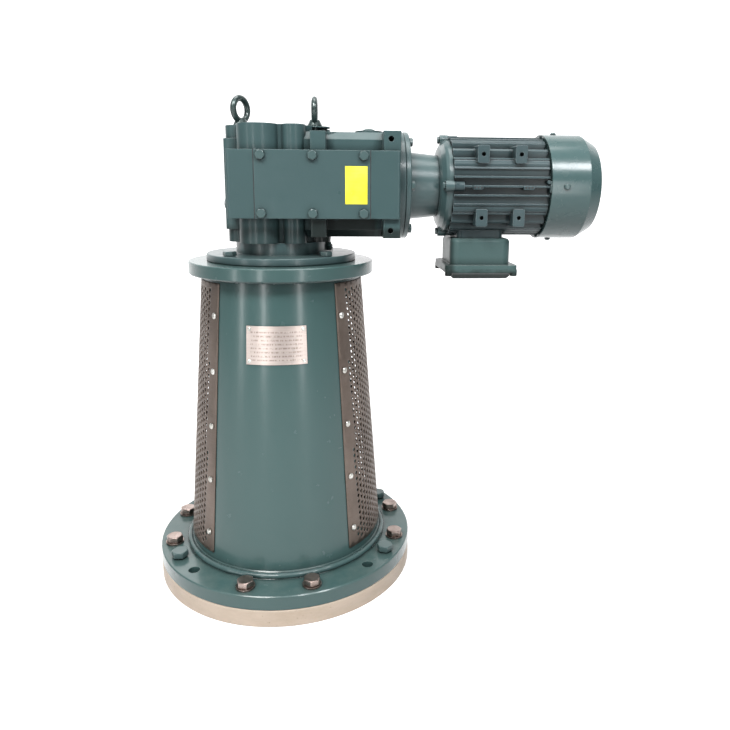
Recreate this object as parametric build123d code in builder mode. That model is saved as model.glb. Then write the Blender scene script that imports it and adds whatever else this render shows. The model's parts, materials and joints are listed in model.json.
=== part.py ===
from build123d import *
from math import acos, atan2, cos, degrees, pi, radians, sin, sqrt, tan
import os

# Tank agitator drive: a helical-bevel geared motor on a conical lantern.
# Millimetres. The origin is the centre of the tank plate's underside, +Z is up the output shaft
# and +X points from the output shaft to the motor.

os.makedirs("parts", exist_ok=True)

# ---------------------------------------------------------------- driving dimensions
# clearances
seat_gap = 0.1            # radial, between a piece and the still piece that it seats in
run_gap = 0.05            # radial, between a shaft and what it turns in
air_gap = 0.5             # radial, between rotor and stator

# tank plate and lantern
plate_radius = 222.5
plate_thickness = 28
plate_bore = 42           # radius, clear round the lower end of the drive shaft
base_flange_thickness = 24
base_flange_bore = 150
bolt_circle = 200         # radius of the twelve-hole tank pattern
bolt_positions = 12
bolt_first = 15           # degrees from -Y
tank_hole = 9
tank_bolt_radius = 8      # the M16 bolts and jacking screws of the base flange
tank_bolt_head = 24       # across flats
tank_bolt_head_height = 10
tank_washer_radius = 15
tank_washer_thickness = 3
tank_bolt_stop = 6        # plate left under the blind bolt holes
lantern_height = 518
top_flange_radius = 155
top_flange_thickness = 21
shell_base_radius = 168
shell_top_radius = 133
shell_wall = 6
weld_leg = 9
window_half_angle = 38    # degrees each side of X
window_bottom = 100
window_top = 495
guard_half_angle = 48
guard_bottom = 72
guard_top = 517
guard_thickness = 1.5
guard_screw_angle = 44
guard_grid_half_angle = 37    # the openings' share of the sheet
guard_grid_columns = 8
guard_grid_rows = 12
guard_grid_bar = 3
guard_grid_bottom = 88
guard_grid_top = 501
guard_screw_first = 105
guard_screw_pitch = 90
guard_screw_rows = 5
guard_screw_radius = 2.5
guard_screw_length = 8
nameplate_width = 94
nameplate_height = 60
nameplate_middle = 426
nameplate_thickness = 1

# shaft seal and lower bearing on the tank plate
cartridge_flange_radius = 82
cartridge_flange_thickness = 14
cartridge_radius = 58
cartridge_height = 92
cartridge_screw_circle = 70
cartridge_screws = 6
lower_bearing_height = 90     # underside of the bearing
seal_height = 58              # underside of the still seal ring
seal_thickness = 14

# drive shaft and its coupling
shaft_radius = 22.5
stub_radius = 32
stub_bottom = 6
stub_length = 42
agitator_bore = 20
agitator_bore_depth = 36
coupling_middle = 425
coupling_hub_radius = 38
coupling_hub_length = 58
coupling_flange_radius = 66
coupling_flange_thickness = 16
coupling_bolt_circle = 52
coupling_bolts_count = 6

# output flange of the gearbox
output_flange_radius = 125
output_flange_thickness = 12
spigot_radius = 90
spigot_depth = 5
output_bolt_circle = 107.5
hub_radius = 76
hub_height = 20
hub_screw_circle = 64

# gearbox housing
motor_axis = 670              # height of the motor and of the bevel pinion
housing_wall = 8
round_end_radius = 88
round_end_height = 103
body_front = -74
body_back = 88
body_height = 164
left_wall_height = 143        # overall height of the raised left end
left_wall_x = -86             # its outer face
left_wall_half = 48
left_wall_depth = 36
body_chamfer = 12
body_left = 40
body_right = 193
block_left = -72
block_right = 192
block_front = -112
block_height = 103
cover_left = -31
cover_right = 146
cover_thickness = 9
gasket_thickness = 1
cover_land = 6                # thickness of the face that the gasket seats on
cover_screw_inset_x = 10.5
cover_screw_inset_z = 8
boss_height = 184             # overall height over the output bearing bosses
boss_radius = 72
lobe_radius = 19
lobe_circle = 70
lobe_count = 8
front_lobe = (-28, -58, 34)   # x, y and radius of the large lobe at the front left
eye_circle = 64
eye_radius = 17.5
eye_wire = 5
eye_collar = 8
eye_shank = 9
lug_width = 27
lug_depth = 25
lug_height = 30
lug_hole = 4.25
pad_left = 54
pad_width = 24
plug_boss_x = 146
plug_boss_y = -40
plug_boss_radius = 22
upper_plug_x = 80             # distance of the upper left plug's seat from the output axis
upper_plug_depth = 13         # its axis below the top of the bosses
plug_shank = 5
plug_depth = 7
label_width = 34
label_height = 57
label_left = 107
label_bottom = 641
label_thickness = 0.3

# gear train: teeth, modules and face widths
flank_play = 0.3              # total play at the pitch circle of each pair
input_module = 1.25
input_pinion_teeth = 16
input_wheel_teeth = 48
input_face = 8
bevel_module = 2.5
bevel_pinion_teeth = 14
bevel_wheel_teeth = 42
bevel_face = 16
output_module = 2.5
output_pinion_teeth = 16
output_wheel_teeth = 56
output_face = 34
output_wheel_bottom = 664
output_helix = 12             # degrees at the pitch circle
pressure_angle = 20

# input side
input_flange_radius = 88
input_flange_thickness = 10
input_cavity_radius = 76
input_bolt_circle = 80
input_bolts_count = 6
adapter_flange_thickness = 9
adapter_start_radius = 56
adapter_end_radius = 51
adapter_length = 50
adapter_wall = 7

# motor
shield_radius = 76
shield_thickness = 19
shield_lug_circle = 76
shield_lug_radius = 8.5
frame_length = 155
frame_bore = 62
frame_core_radius = 66
fin_radius = 82
fin_pitch = 14.5
fin_thickness = 3
fins_each_side = 5
foot_spacing_x = 61
foot_spacing_z = 100
foot_middle_x = 357
foot_width = 19
foot_height = 28
foot_face = 80                # distance of the pad faces from the motor axis
foot_hole = 3.4
foot_hole_depth = 12
stator_start = 304
stator_length = 104
stator_bore = 40
winding_length = 16
rear_shield_thickness = 8
fan_cover_start = 438
fan_cover_length = 94
fan_cover_radius = 87
fan_cover_wall = 2
fan_cover_straight = 64       # length of its round part
fan_shoulder_length = 22      # cone between the round part and the domed end
fan_shoulder_radius = 74
fan_end_flat = 44             # radius of its flat end
fan_screw_x = 462
fan_radius = 72
fan_blades = 8

# terminal box
box_middle_x = 334
box_length = 102
box_width = 104
box_top = 585
box_height = 44
box_wall = 4
neck_length = 78
neck_width = 78
lid_length = 122
lid_width = 124
lid_thickness = 6
lid_rim = 8
pan_depth = 9
wire_hole = 14
entry_radius = 12.5
entry_offset = 22

# ---------------------------------------------------------------- places worked out from them
base_top = plate_thickness + base_flange_thickness
lantern_top = plate_thickness + lantern_height
shell_top = lantern_top - top_flange_thickness
flange_top = lantern_top + output_flange_thickness
boss_bottom = motor_axis - boss_height / 2
boss_top = motor_axis + boss_height / 2
body_bottom = motor_axis - body_height / 2
body_top = motor_axis + body_height / 2
block_bottom = motor_axis - block_height / 2
block_top = motor_axis + block_height / 2
round_bottom = motor_axis - round_end_height / 2
round_top = motor_axis + round_end_height / 2
left_bottom = motor_axis - left_wall_height / 2
left_top = motor_axis + left_wall_height / 2
cover_face = block_front + cover_thickness
gasket_face = cover_face + gasket_thickness

input_distance = input_module * (input_pinion_teeth + input_wheel_teeth) / 2
output_distance = output_module * (output_pinion_teeth + output_wheel_teeth) / 2
layshaft_y = -input_distance
layshaft_x = sqrt(output_distance**2 - layshaft_y**2)
bevel_pinion_pitch = bevel_module * bevel_pinion_teeth / 2
bevel_wheel_pitch = bevel_module * bevel_wheel_teeth / 2
mesh_angle = degrees(atan2(-layshaft_y, -layshaft_x))    # from the layshaft to the output shaft

input_start = body_right
adapter_start = input_start + input_flange_thickness
cone_start = adapter_start + adapter_flange_thickness
shield_start = cone_start + adapter_length
frame_start = shield_start + shield_thickness
frame_end = frame_start + frame_length
gear_start = input_start + 1
box_bottom = box_top - box_height
lid_top = box_bottom - lid_rim
lid_bottom = lid_top - lid_thickness - pan_depth

# ---------------------------------------------------------------- bearings: bore, outside, width
BEARING_45 = (22.5, 42.5, 19)
BEARING_25 = (12.5, 26, 15)
BEARING_20 = (10, 23.5, 14)

lower_bearing_at = (0, 0, lower_bearing_height)
output_low_at = (0, 0, boss_bottom + 10)
output_high_at = (0, 0, boss_top - 10 - BEARING_45[2])
layshaft_low_at = (layshaft_x, layshaft_y, body_bottom + 8)
layshaft_high_at = (layshaft_x, layshaft_y, body_top - 8 - BEARING_25[2])
pinion_near_at = (layshaft_x + 64, layshaft_y, motor_axis)
pinion_far_at = (input_start - 5 - BEARING_25[2], layshaft_y, motor_axis)
drive_end_at = (shield_start + 2, 0, motor_axis)
fan_end_at = (frame_end - 8, 0, motor_axis)


# ---------------------------------------------------------------- shared helpers
def shell_radius(height):
    """Outside radius of the lantern's conical shell at a height."""
    share = (height - base_top) / (shell_top - base_top)
    return shell_base_radius + (shell_top_radius - shell_base_radius) * share


def radial_plane(angle):
    """Upright plane through the output axis: local x is outward at the angle, local y is up."""
    a = radians(angle)
    return Plane(origin=(0, 0, 0), x_dir=(cos(a), sin(a), 0), z_dir=(sin(a), -cos(a), 0))


def axis_plane(origin, along):
    """Plane for a turned profile: local x is the radius, local y runs along Z or X."""
    if along == "Z":
        return Plane(origin=origin, x_dir=(1, 0, 0), z_dir=(0, -1, 0))
    return Plane(origin=origin, x_dir=(0, 0, 1), z_dir=(0, 1, 0))


def cross_plane(x):
    """Plane across the motor axis at x: local x is +Y, local y is +Z, normal +X."""
    return Plane(origin=(x, 0, motor_axis), x_dir=(0, 1, 0), z_dir=(1, 0, 0))


def turned(profile, origin=(0, 0, 0), along="Z"):
    """Solid of revolution of a closed profile of (radius, distance along the axis) corners."""
    plane = axis_plane(origin, along)
    with BuildPart() as body:
        with BuildSketch(plane):
            with BuildLine():
                Polyline(*profile, close=True)
            make_face()
        revolve(axis=Axis(origin, plane.y_dir))
    return body


def placed(piece, planes):
    """Copies of one piece, one on each plane, as a group of separate solids."""
    with BuildPart() as copies:
        with Locations(*planes):
            add(piece.part)
    return copies


def hex_bolt(shank, length, flats, head):
    """Hexagon bolt, head above the plane and shank below it."""
    with BuildPart() as bolt:
        with BuildSketch(Plane.XY):
            RegularPolygon(flats / 2, 6, major_radius=False)
        extrude(amount=head)
        with BuildSketch(Plane.XY):
            Circle(shank)
        extrude(amount=-length)
    return bolt


def round_screw(shank, length, head_radius, head):
    """Round-head screw, head above the plane and shank below it."""
    return turned([(0, -length), (shank, -length), (shank, 0), (head_radius, 0),
                   (head_radius, head * 0.45), (head_radius * 0.6, head), (0, head)])


def washer(inner, outer, thickness):
    """Plain washer standing on the plane."""
    return turned([(inner, 0), (outer, 0), (outer, thickness), (inner, thickness)])


def outer_ring(size, origin, along):
    """Outer ring of a ball bearing, with its ball groove."""
    bore, outside, width = size
    ball = (outside - bore) * 0.3
    pitch = (outside + bore) / 2
    lip = pitch + ball * 0.55
    half = ball * 0.75
    return turned([(outside - seat_gap, 0), (outside - seat_gap, width), (lip, width),
                   (lip, width / 2 + half), (pitch + ball + run_gap, width / 2 + ball * 0.25),
                   (pitch + ball + run_gap, width / 2 - ball * 0.25), (lip, width / 2 - half),
                   (lip, 0)], origin, along)


def inner_ring(size, origin, along):
    """Inner ring of a ball bearing, with its ball groove."""
    bore, outside, width = size
    ball = (outside - bore) * 0.3
    pitch = (outside + bore) / 2
    lip = pitch - ball * 0.55
    half = ball * 0.75
    ring = turned([(bore, 0), (bore, width), (lip, width), (lip, width / 2 + half),
                   (pitch - ball, width / 2), (lip, width / 2 - half), (lip, 0)], origin, along)
    return ring


def involute(angle):
    """Involute function of a pressure angle in radians."""
    return tan(angle) - angle


def half_tooth(pitch, teeth, radius, play):
    """Half of a tooth's angle, in radians, at a radius of a gear with a pitch radius."""
    base = pitch * cos(radians(pressure_angle))
    flank = acos(min(1, base / max(radius, base)))
    half_pitch = pi / (2 * teeth) - play / (4 * pitch)
    return half_pitch + involute(radians(pressure_angle)) - involute(flank)


def polar(radius, angle):
    """Point at a radius and an angle in radians."""
    return (radius * cos(angle), radius * sin(angle))


def spur_outline(module, teeth, turn, play, addendum=1.0, dedendum=1.2):
    """Closed outline of an involute gear, with a tooth centred at the turn, in radians."""
    pitch = module * teeth / 2
    tip = pitch + addendum * module
    root = pitch - dedendum * module
    foot = max(root, pitch * cos(radians(pressure_angle)))
    middle = (foot + tip) / 2
    step = 2 * pi / teeth
    ends = [half_tooth(pitch, teeth, r, play) for r in (foot, middle, tip)]
    for k in range(teeth):
        a = turn + k * step
        if foot > root:
            Line(polar(root, a - ends[0]), polar(foot, a - ends[0]))
        Polyline(polar(foot, a - ends[0]), polar(middle, a - ends[1]), polar(tip, a - ends[2]))
        ThreePointArc(polar(tip, a - ends[2]), polar(tip, a), polar(tip, a + ends[2]))
        Polyline(polar(tip, a + ends[2]), polar(middle, a + ends[1]), polar(foot, a + ends[0]))
        if foot > root:
            Line(polar(foot, a + ends[0]), polar(root, a + ends[0]))
        ThreePointArc(polar(root, a + ends[0]), polar(root, a + step / 2),
                      polar(root, a + step - ends[0]))


def gear(plane, module, teeth, face, turn, bore, addendum=1.0):
    """Spur gear standing on a plane, with a tooth centred at the turn, in radians."""
    with BuildPart() as wheel:
        with BuildSketch(plane):
            with BuildLine():
                spur_outline(module, teeth, turn, flank_play, addendum)
            make_face()
            if bore > 0:
                Circle(bore, mode=Mode.SUBTRACT)
        extrude(amount=face)
    return wheel


def bevel_tooth(pitch, mate_pitch, teeth, addendum, dedendum):
    """One straight bevel tooth at local +x, narrowing to the apex at the origin."""
    cone = sqrt(pitch**2 + mate_pitch**2)
    virtual = pitch * cone / mate_pitch
    virtual_teeth = teeth * cone / mate_pitch
    module = 2 * pitch / teeth
    root = virtual - dedendum * module - 0.6
    base = virtual * cos(radians(pressure_angle))
    foot = max(base, virtual - dedendum * module)
    tip = virtual + addendum * module
    radii = [root, foot, (foot + tip) / 2, tip]
    small = (cone - bevel_face) / cone
    with BuildPart() as tooth:
        for scale in (1, small):
            origin = (pitch * scale, 0, -mate_pitch * scale)
            plane = Plane(origin=origin, x_dir=(0, 1, 0), z_dir=(pitch, 0, -mate_pitch))
            right = []
            for r in radii:
                a = half_tooth(virtual, virtual_teeth, r, flank_play)
                right.append((r * sin(a) * scale, (r * cos(a) - virtual) * scale))
            left = [(-x, y) for x, y in reversed(right)]
            with BuildSketch(plane):
                with BuildLine():
                    Polyline(*right, *left, close=True)
                make_face()
        loft(ruled=True)
    return tooth


def cone_point(pitch, mate_pitch, height, scale):
    """Point (radius, axial) at a height above the pitch cone of a bevel gear."""
    cone = sqrt(pitch**2 + mate_pitch**2)
    return ((pitch + height * mate_pitch / cone) * scale,
            (-mate_pitch + height * pitch / cone) * scale)


def tank_planes(angles, height):
    """Planes facing up on the tank bolt circle, at angles in degrees from -Y."""
    return [Plane(origin=(bolt_circle * sin(radians(a)), -bolt_circle * cos(radians(a)), height))
            for a in angles]


def save(piece, name):
    """Write one node."""
    piece.part.label = name
    export_step(piece.part, f"parts/{name}.step")


all_angles = [bolt_first + k * 360 / bolt_positions for k in range(bolt_positions)]
open_angles = [45, 135, 225, 315]
bolt_angles = [a for a in all_angles if a not in open_angles]
jack_angles = [60, 120, 240, 300]

# ---------------------------------------------------------------- tank plate
bolt_depth = plate_thickness - tank_bolt_stop

with BuildPart() as tank_plate:
    with BuildSketch():
        Circle(plate_radius)
        Circle(plate_bore, mode=Mode.SUBTRACT)
    extrude(amount=plate_thickness)
    chamfer(tank_plate.edges().filter_by(GeomType.CIRCLE).group_by(SortBy.RADIUS)[-1], 1)
    with Locations(*tank_planes(open_angles, plate_thickness)):
        Hole(tank_hole)
    with Locations(*tank_planes(bolt_angles, plate_thickness)):
        Hole(tank_bolt_radius + seat_gap, depth=bolt_depth)
    with Locations((0, 0, plate_thickness)):
        with PolarLocations(cartridge_screw_circle, cartridge_screws):
            Hole(5 + seat_gap, depth=18)
save(tank_plate, "tank_plate")

# ---------------------------------------------------------------- lantern weldment
def guard_screw_planes(side):
    """Planes square to the shell at the screws of one guard, local z pointing outward."""
    slope = atan2(shell_base_radius - shell_top_radius, shell_top - base_top)
    planes = []
    for edge in (-1, 1):
        a = radians(side + edge * guard_screw_angle)
        for row in range(guard_screw_rows):
            z = guard_screw_first + row * guard_screw_pitch
            r = shell_radius(z) + seat_gap + guard_thickness
            planes.append(Plane(origin=(r * cos(a), r * sin(a), z), x_dir=(-sin(a), cos(a), 0),
                                z_dir=(cos(a) * cos(slope), sin(a) * cos(slope), sin(slope))))
    return planes


with BuildPart() as lantern:
    with BuildSketch(Plane.XY.offset(plate_thickness)):
        Circle(plate_radius)
        Circle(base_flange_bore, mode=Mode.SUBTRACT)
    extrude(amount=base_flange_thickness)
    with BuildSketch(Plane.XY.offset(shell_top)):
        Circle(top_flange_radius)
        Circle(spigot_radius - 12, mode=Mode.SUBTRACT)
    extrude(amount=top_flange_thickness)
    chamfer(lantern.edges().filter_by(GeomType.CIRCLE).filter_by(
        lambda e: e.radius in (plate_radius, top_flange_radius)), 1.5)
    with BuildSketch(Plane.XZ):
        with BuildLine():
            Polyline((shell_base_radius - shell_wall, base_top), (shell_base_radius, base_top),
                     (shell_top_radius, shell_top), (shell_top_radius - shell_wall, shell_top),
                     close=True)
        make_face()
        with BuildLine():
            Polyline((shell_base_radius - 1, base_top), (shell_base_radius + weld_leg, base_top),
                     (shell_radius(base_top + weld_leg), base_top + weld_leg),
                     (shell_radius(base_top + weld_leg) - 1, base_top + weld_leg), close=True)
        make_face()
    revolve(axis=Axis.Z)
    with BuildSketch(Plane.XY.offset(window_bottom)):
        for side in (0, 180):
            with BuildLine():
                reach = plate_radius
                corner = [polar(reach, radians(side + s * window_half_angle)) for s in (-1, 1)]
                Polyline((0, 0), corner[0], polar(reach * 1.3, radians(side)), corner[1], close=True)
            make_face()
    extrude(amount=window_top - window_bottom, mode=Mode.SUBTRACT)
    with Locations((0, 0, lantern_top)):
        Hole(spigot_radius + seat_gap, depth=spigot_depth)
        with PolarLocations(output_bolt_circle, 4, start_angle=45):
            Hole(6 + seat_gap, depth=18)
    with Locations(*tank_planes(all_angles, base_top)):
        Hole(tank_hole, depth=base_flange_thickness)
    with Locations(*tank_planes(jack_angles, base_top)):
        Hole(tank_bolt_radius + seat_gap, depth=base_flange_thickness)
    with Locations(*guard_screw_planes(0), *guard_screw_planes(180)):
        Hole(guard_screw_radius + seat_gap, depth=guard_screw_length)
save(lantern, "lantern")


def guard(side):
    """Curved sheet that closes one window of the lantern."""
    inner_low = shell_radius(guard_bottom) + seat_gap
    inner_high = shell_radius(guard_top) + seat_gap
    with BuildPart() as sheet:
        with BuildSketch(radial_plane(side - guard_half_angle)):
            with BuildLine():
                Polyline((inner_low, guard_bottom), (inner_low + guard_thickness, guard_bottom),
                         (inner_high + guard_thickness, guard_top), (inner_high, guard_top),
                         close=True)
            make_face()
        revolve(axis=Axis.Z, revolution_arc=2 * guard_half_angle)
        with Locations(*guard_screw_planes(side)):
            Hole(guard_screw_radius + seat_gap, depth=guard_screw_length)
        row_pitch = (guard_grid_top - guard_grid_bottom) / guard_grid_rows
        column_pitch = 2 * guard_grid_half_angle / guard_grid_columns
        bar_angle = degrees(guard_grid_bar / shell_radius(guard_grid_top))
        for row in range(guard_grid_rows):
            with BuildSketch(Plane.XY.offset(guard_grid_bottom + row * row_pitch)):
                for column in range(guard_grid_columns):
                    start = side - guard_grid_half_angle + column * column_pitch
                    with BuildLine():
                        Polyline(*[polar(reach, radians(start + turn)) for reach, turn in (
                            (shell_top_radius - shell_wall, 0), (plate_radius, 0),
                            (plate_radius, column_pitch - bar_angle),
                            (shell_top_radius - shell_wall, column_pitch - bar_angle))],
                            close=True)
                    make_face()
            extrude(amount=row_pitch - guard_grid_bar, mode=Mode.SUBTRACT)
    return sheet


guard_right = guard(0)
save(guard_right, "guard_right")
guard_left = guard(180)
save(guard_left, "guard_left")

guard_screws = placed(round_screw(guard_screw_radius, guard_screw_length - 1, 5, 3),
                      guard_screw_planes(0) + guard_screw_planes(180))
save(guard_screws, "guard_screws")

base_washers = placed(washer(tank_bolt_radius + seat_gap, tank_washer_radius, tank_washer_thickness),
                      tank_planes(bolt_angles, base_top))
save(base_washers, "base_washers")
bolt_grip = base_flange_thickness + tank_washer_thickness + bolt_depth - 2
base_bolts = placed(hex_bolt(tank_bolt_radius, bolt_grip, tank_bolt_head, tank_bolt_head_height),
                    tank_planes(bolt_angles, base_top + tank_washer_thickness))
save(base_bolts, "base_bolts")
jack_lift = 2             # the jacking screws stand off the flange by this much
jack_screws = placed(hex_bolt(tank_bolt_radius, base_flange_thickness + jack_lift, tank_bolt_head,
                              tank_bolt_head_height),
                     tank_planes(jack_angles, base_top + jack_lift))
save(jack_screws, "jack_screws")

# ---------------------------------------------------------------- nameplate, curved to the shell
low = nameplate_middle - nameplate_height / 2
high = nameplate_middle + nameplate_height / 2
arc = degrees(nameplate_width / shell_radius(nameplate_middle))
rivet_planes = []
for z in (low + 5, high - 5):
    for edge in (-1, 1):
        a = radians(-90 + edge * (arc / 2 - 2))
        r = shell_radius(z) + 2 * seat_gap + nameplate_thickness
        rivet_planes.append(Plane(origin=(r * cos(a), r * sin(a), z), x_dir=(-sin(a), cos(a), 0),
                                  z_dir=(cos(a), sin(a), 0.08)))
with BuildPart() as nameplate:
    with BuildSketch(radial_plane(-90 - arc / 2)):
        with BuildLine():
            r_low = shell_radius(low) + seat_gap
            r_high = shell_radius(high) + seat_gap
            Polyline((r_low, low), (r_low + nameplate_thickness, low),
                     (r_high + nameplate_thickness, high), (r_high, high), close=True)
        make_face()
    revolve(axis=Axis.Z, revolution_arc=arc)
    with Locations(*rivet_planes):
        Hole(1.5 + seat_gap, depth=nameplate_thickness + seat_gap)
save(nameplate, "nameplate")

nameplate_rivets = placed(round_screw(1.5, 0.9, 3, 1.4), rivet_planes)
save(nameplate_rivets, "nameplate_rivets")

# ---------------------------------------------------------------- seal and bearing cartridge
bearing_top = lower_bearing_height + BEARING_45[2]
cartridge_top = plate_thickness + cartridge_height
seal_bore = BEARING_45[1] - 8
with BuildPart() as seal_cartridge:
    with BuildSketch(Plane.XZ):
        with BuildLine():
            Polyline((stub_radius + 3, plate_thickness),
                     (cartridge_flange_radius, plate_thickness),
                     (cartridge_flange_radius, plate_thickness + cartridge_flange_thickness),
                     (cartridge_radius, plate_thickness + cartridge_flange_thickness),
                     (cartridge_radius, cartridge_top),
                     (BEARING_45[1], cartridge_top),
                     (BEARING_45[1], lower_bearing_height),
                     (seal_bore, lower_bearing_height),
                     (seal_bore, seal_height), (stub_radius + 3, seal_height), close=True)
        make_face()
    revolve(axis=Axis.Z)
    with Locations((0, 0, plate_thickness + cartridge_flange_thickness)):
        with PolarLocations(cartridge_screw_circle, cartridge_screws):
            Hole(5 + seat_gap, depth=cartridge_flange_thickness)
save(seal_cartridge, "seal_cartridge")

cartridge_cover = turned([(shaft_radius + 1, cartridge_top), (cartridge_radius, cartridge_top),
                          (cartridge_radius, cartridge_top + 7),
                          (shaft_radius + 1, cartridge_top + 7)])
save(cartridge_cover, "cartridge_cover")

cartridge_planes = [Plane(origin=(*polar(cartridge_screw_circle, radians(60 * k)),
                                  plate_thickness + cartridge_flange_thickness))
                    for k in range(cartridge_screws)]
cartridge_bolts = placed(hex_bolt(5, cartridge_flange_thickness + 16, 17, 6.4), cartridge_planes)
save(cartridge_bolts, "cartridge_bolts")

# ---------------------------------------------------------------- shaft seals that stand still
hub_top = flange_top + hub_height
output_seal_low = flange_top + 4
output_seal_radius = 34
motor_seal_start = adapter_start
motor_seal_radius = 20
motor_shaft_radius = 12


def seal_ring(inner, outer, width, origin, along):
    """Lip seal: a ring whose lip runs just clear of the shaft."""
    return turned([(inner + 2, 0), (outer - seat_gap, 0), (outer - seat_gap, width),
                   (inner + run_gap, width), (inner + run_gap, width - 2)], origin, along)


with BuildPart() as shaft_seals:
    add(turned([(shaft_radius + 2, seal_height), (seal_bore - seat_gap, seal_height),
                (seal_bore - seat_gap, seal_height + seal_thickness),
                (shaft_radius + 2, seal_height + seal_thickness)]).part)
    add(seal_ring(shaft_radius, output_seal_radius, 10, (0, 0, output_seal_low), "Z").part)
    add(seal_ring(motor_shaft_radius, motor_seal_radius, 7, (motor_seal_start, 0, motor_axis),
                  "X").part)
save(shaft_seals, "shaft_seals")

# ---------------------------------------------------------------- output flange of the gearbox
lobe_angles = [360 / lobe_count * (k + 0.5) for k in range(lobe_count)]
with BuildPart() as output_flange:
    with BuildSketch(Plane.XY.offset(lantern_top)):
        Circle(output_flange_radius)
    extrude(amount=output_flange_thickness)
    with BuildSketch(Plane.XY.offset(lantern_top)):
        Circle(spigot_radius)
    extrude(amount=-spigot_depth)
    chamfer(output_flange.edges().filter_by(GeomType.CIRCLE).group_by(SortBy.RADIUS)[-1], 1.2)
    with BuildSketch(Plane.XY.offset(flange_top)):
        Circle(hub_radius)
    extrude(amount=hub_top - flange_top)
    with Locations((0, 0, hub_top)):
        Hole(shaft_radius + 3)
        Hole(output_seal_radius, depth=hub_top - output_seal_low)
        with PolarLocations(hub_screw_circle, lobe_count, start_angle=lobe_angles[0]):
            Hole(5 + seat_gap)
    with Locations((0, 0, flange_top)):
        with PolarLocations(output_bolt_circle, 4, start_angle=45):
            Hole(6.75, depth=output_flange_thickness)
    with Locations(Plane(origin=(hub_radius, 0, flange_top + hub_height / 2), x_dir=(0, 1, 0),
                         z_dir=(1, 0, 0))):
        Hole(plug_shank + seat_gap, depth=plug_depth)
save(output_flange, "output_flange")

flange_planes = [Plane(origin=(*polar(output_bolt_circle, radians(45 + 90 * k)), flange_top))
                 for k in range(4)]
flange_bolts = placed(hex_bolt(6, output_flange_thickness + 16, 19, 7.5), flange_planes)
save(flange_bolts, "flange_bolts")

hub_planes = [Plane(origin=(*polar(hub_screw_circle, radians(a)), lantern_top - spigot_depth),
                    x_dir=(1, 0, 0), z_dir=(0, 0, -1)) for a in lobe_angles]
hub_screws = placed(round_screw(5, hub_top - lantern_top + spigot_depth + 16, 8, 5), hub_planes)
save(hub_screws, "hub_screws")


# ---------------------------------------------------------------- gearbox housing
cover_middle = (cover_left + cover_right) / 2
cover_width = cover_right - cover_left
window_margin = 16
round_cavity = round_end_radius - housing_wall
bearing_outside = BEARING_45[1]
layshaft_boss = BEARING_25[1] + 9
input_boss = BEARING_25[1] + 8


def upright(x0, x1, y0, y1, z0, z1, corner=0, mode=Mode.ADD):
    """Upright block between two corners, with its four upright edges rounded."""
    with BuildSketch(Plane.XY.offset(z0)) as outline:
        with Locations(((x0 + x1) / 2, (y0 + y1) / 2)):
            if corner > 0:
                RectangleRounded(x1 - x0, y1 - y0, corner)
            else:
                Rectangle(x1 - x0, y1 - y0)
    extrude(outline.sketch, amount=z1 - z0, mode=mode)


def lobed_boss():
    """Sketch of an output bearing boss: a round wall with screw lobes on its circle."""
    Circle(boss_radius)
    with PolarLocations(lobe_circle, lobe_count, start_angle=lobe_angles[0]):
        Circle(lobe_radius)
    with Locations(front_lobe[:2]):
        Circle(front_lobe[2])


cover_screw_spots = []
for i in (-1, 0, 1):
    for j in (-1, 1):
        cover_screw_spots.append((cover_middle + i * (cover_width / 2 - cover_screw_inset_x),
                                  motor_axis + j * (block_height / 2 - cover_screw_inset_z)))
lug_left = body_right - lug_width
lug_spots = [(lug_left + lug_width / 2 - 2, z)
             for z in (block_top + lug_height / 2 + 3, block_bottom - lug_height / 2 - 3)]
eye_spots = [polar(eye_circle, radians(a)) for a in (-157.5, -22.5)]


def plug_plane(x):
    """Plane facing -X at x, at the height of the upper left oil plug."""
    return Plane(origin=(x, 0, boss_top - upper_plug_depth), x_dir=(0, -1, 0), z_dir=(-1, 0, 0))


drain_plug_plane = Plane(origin=(hub_radius, 0, flange_top + hub_height / 2), x_dir=(0, 1, 0),
                         z_dir=(1, 0, 0))
level_plug_plane = Plane(origin=(-round_end_radius - 1, 0, block_bottom + 20), x_dir=(0, -1, 0),
                         z_dir=(-1, 0, 0))
vent_plug_plane = Plane(origin=(plug_boss_x, plug_boss_y, body_top + 3))

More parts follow.
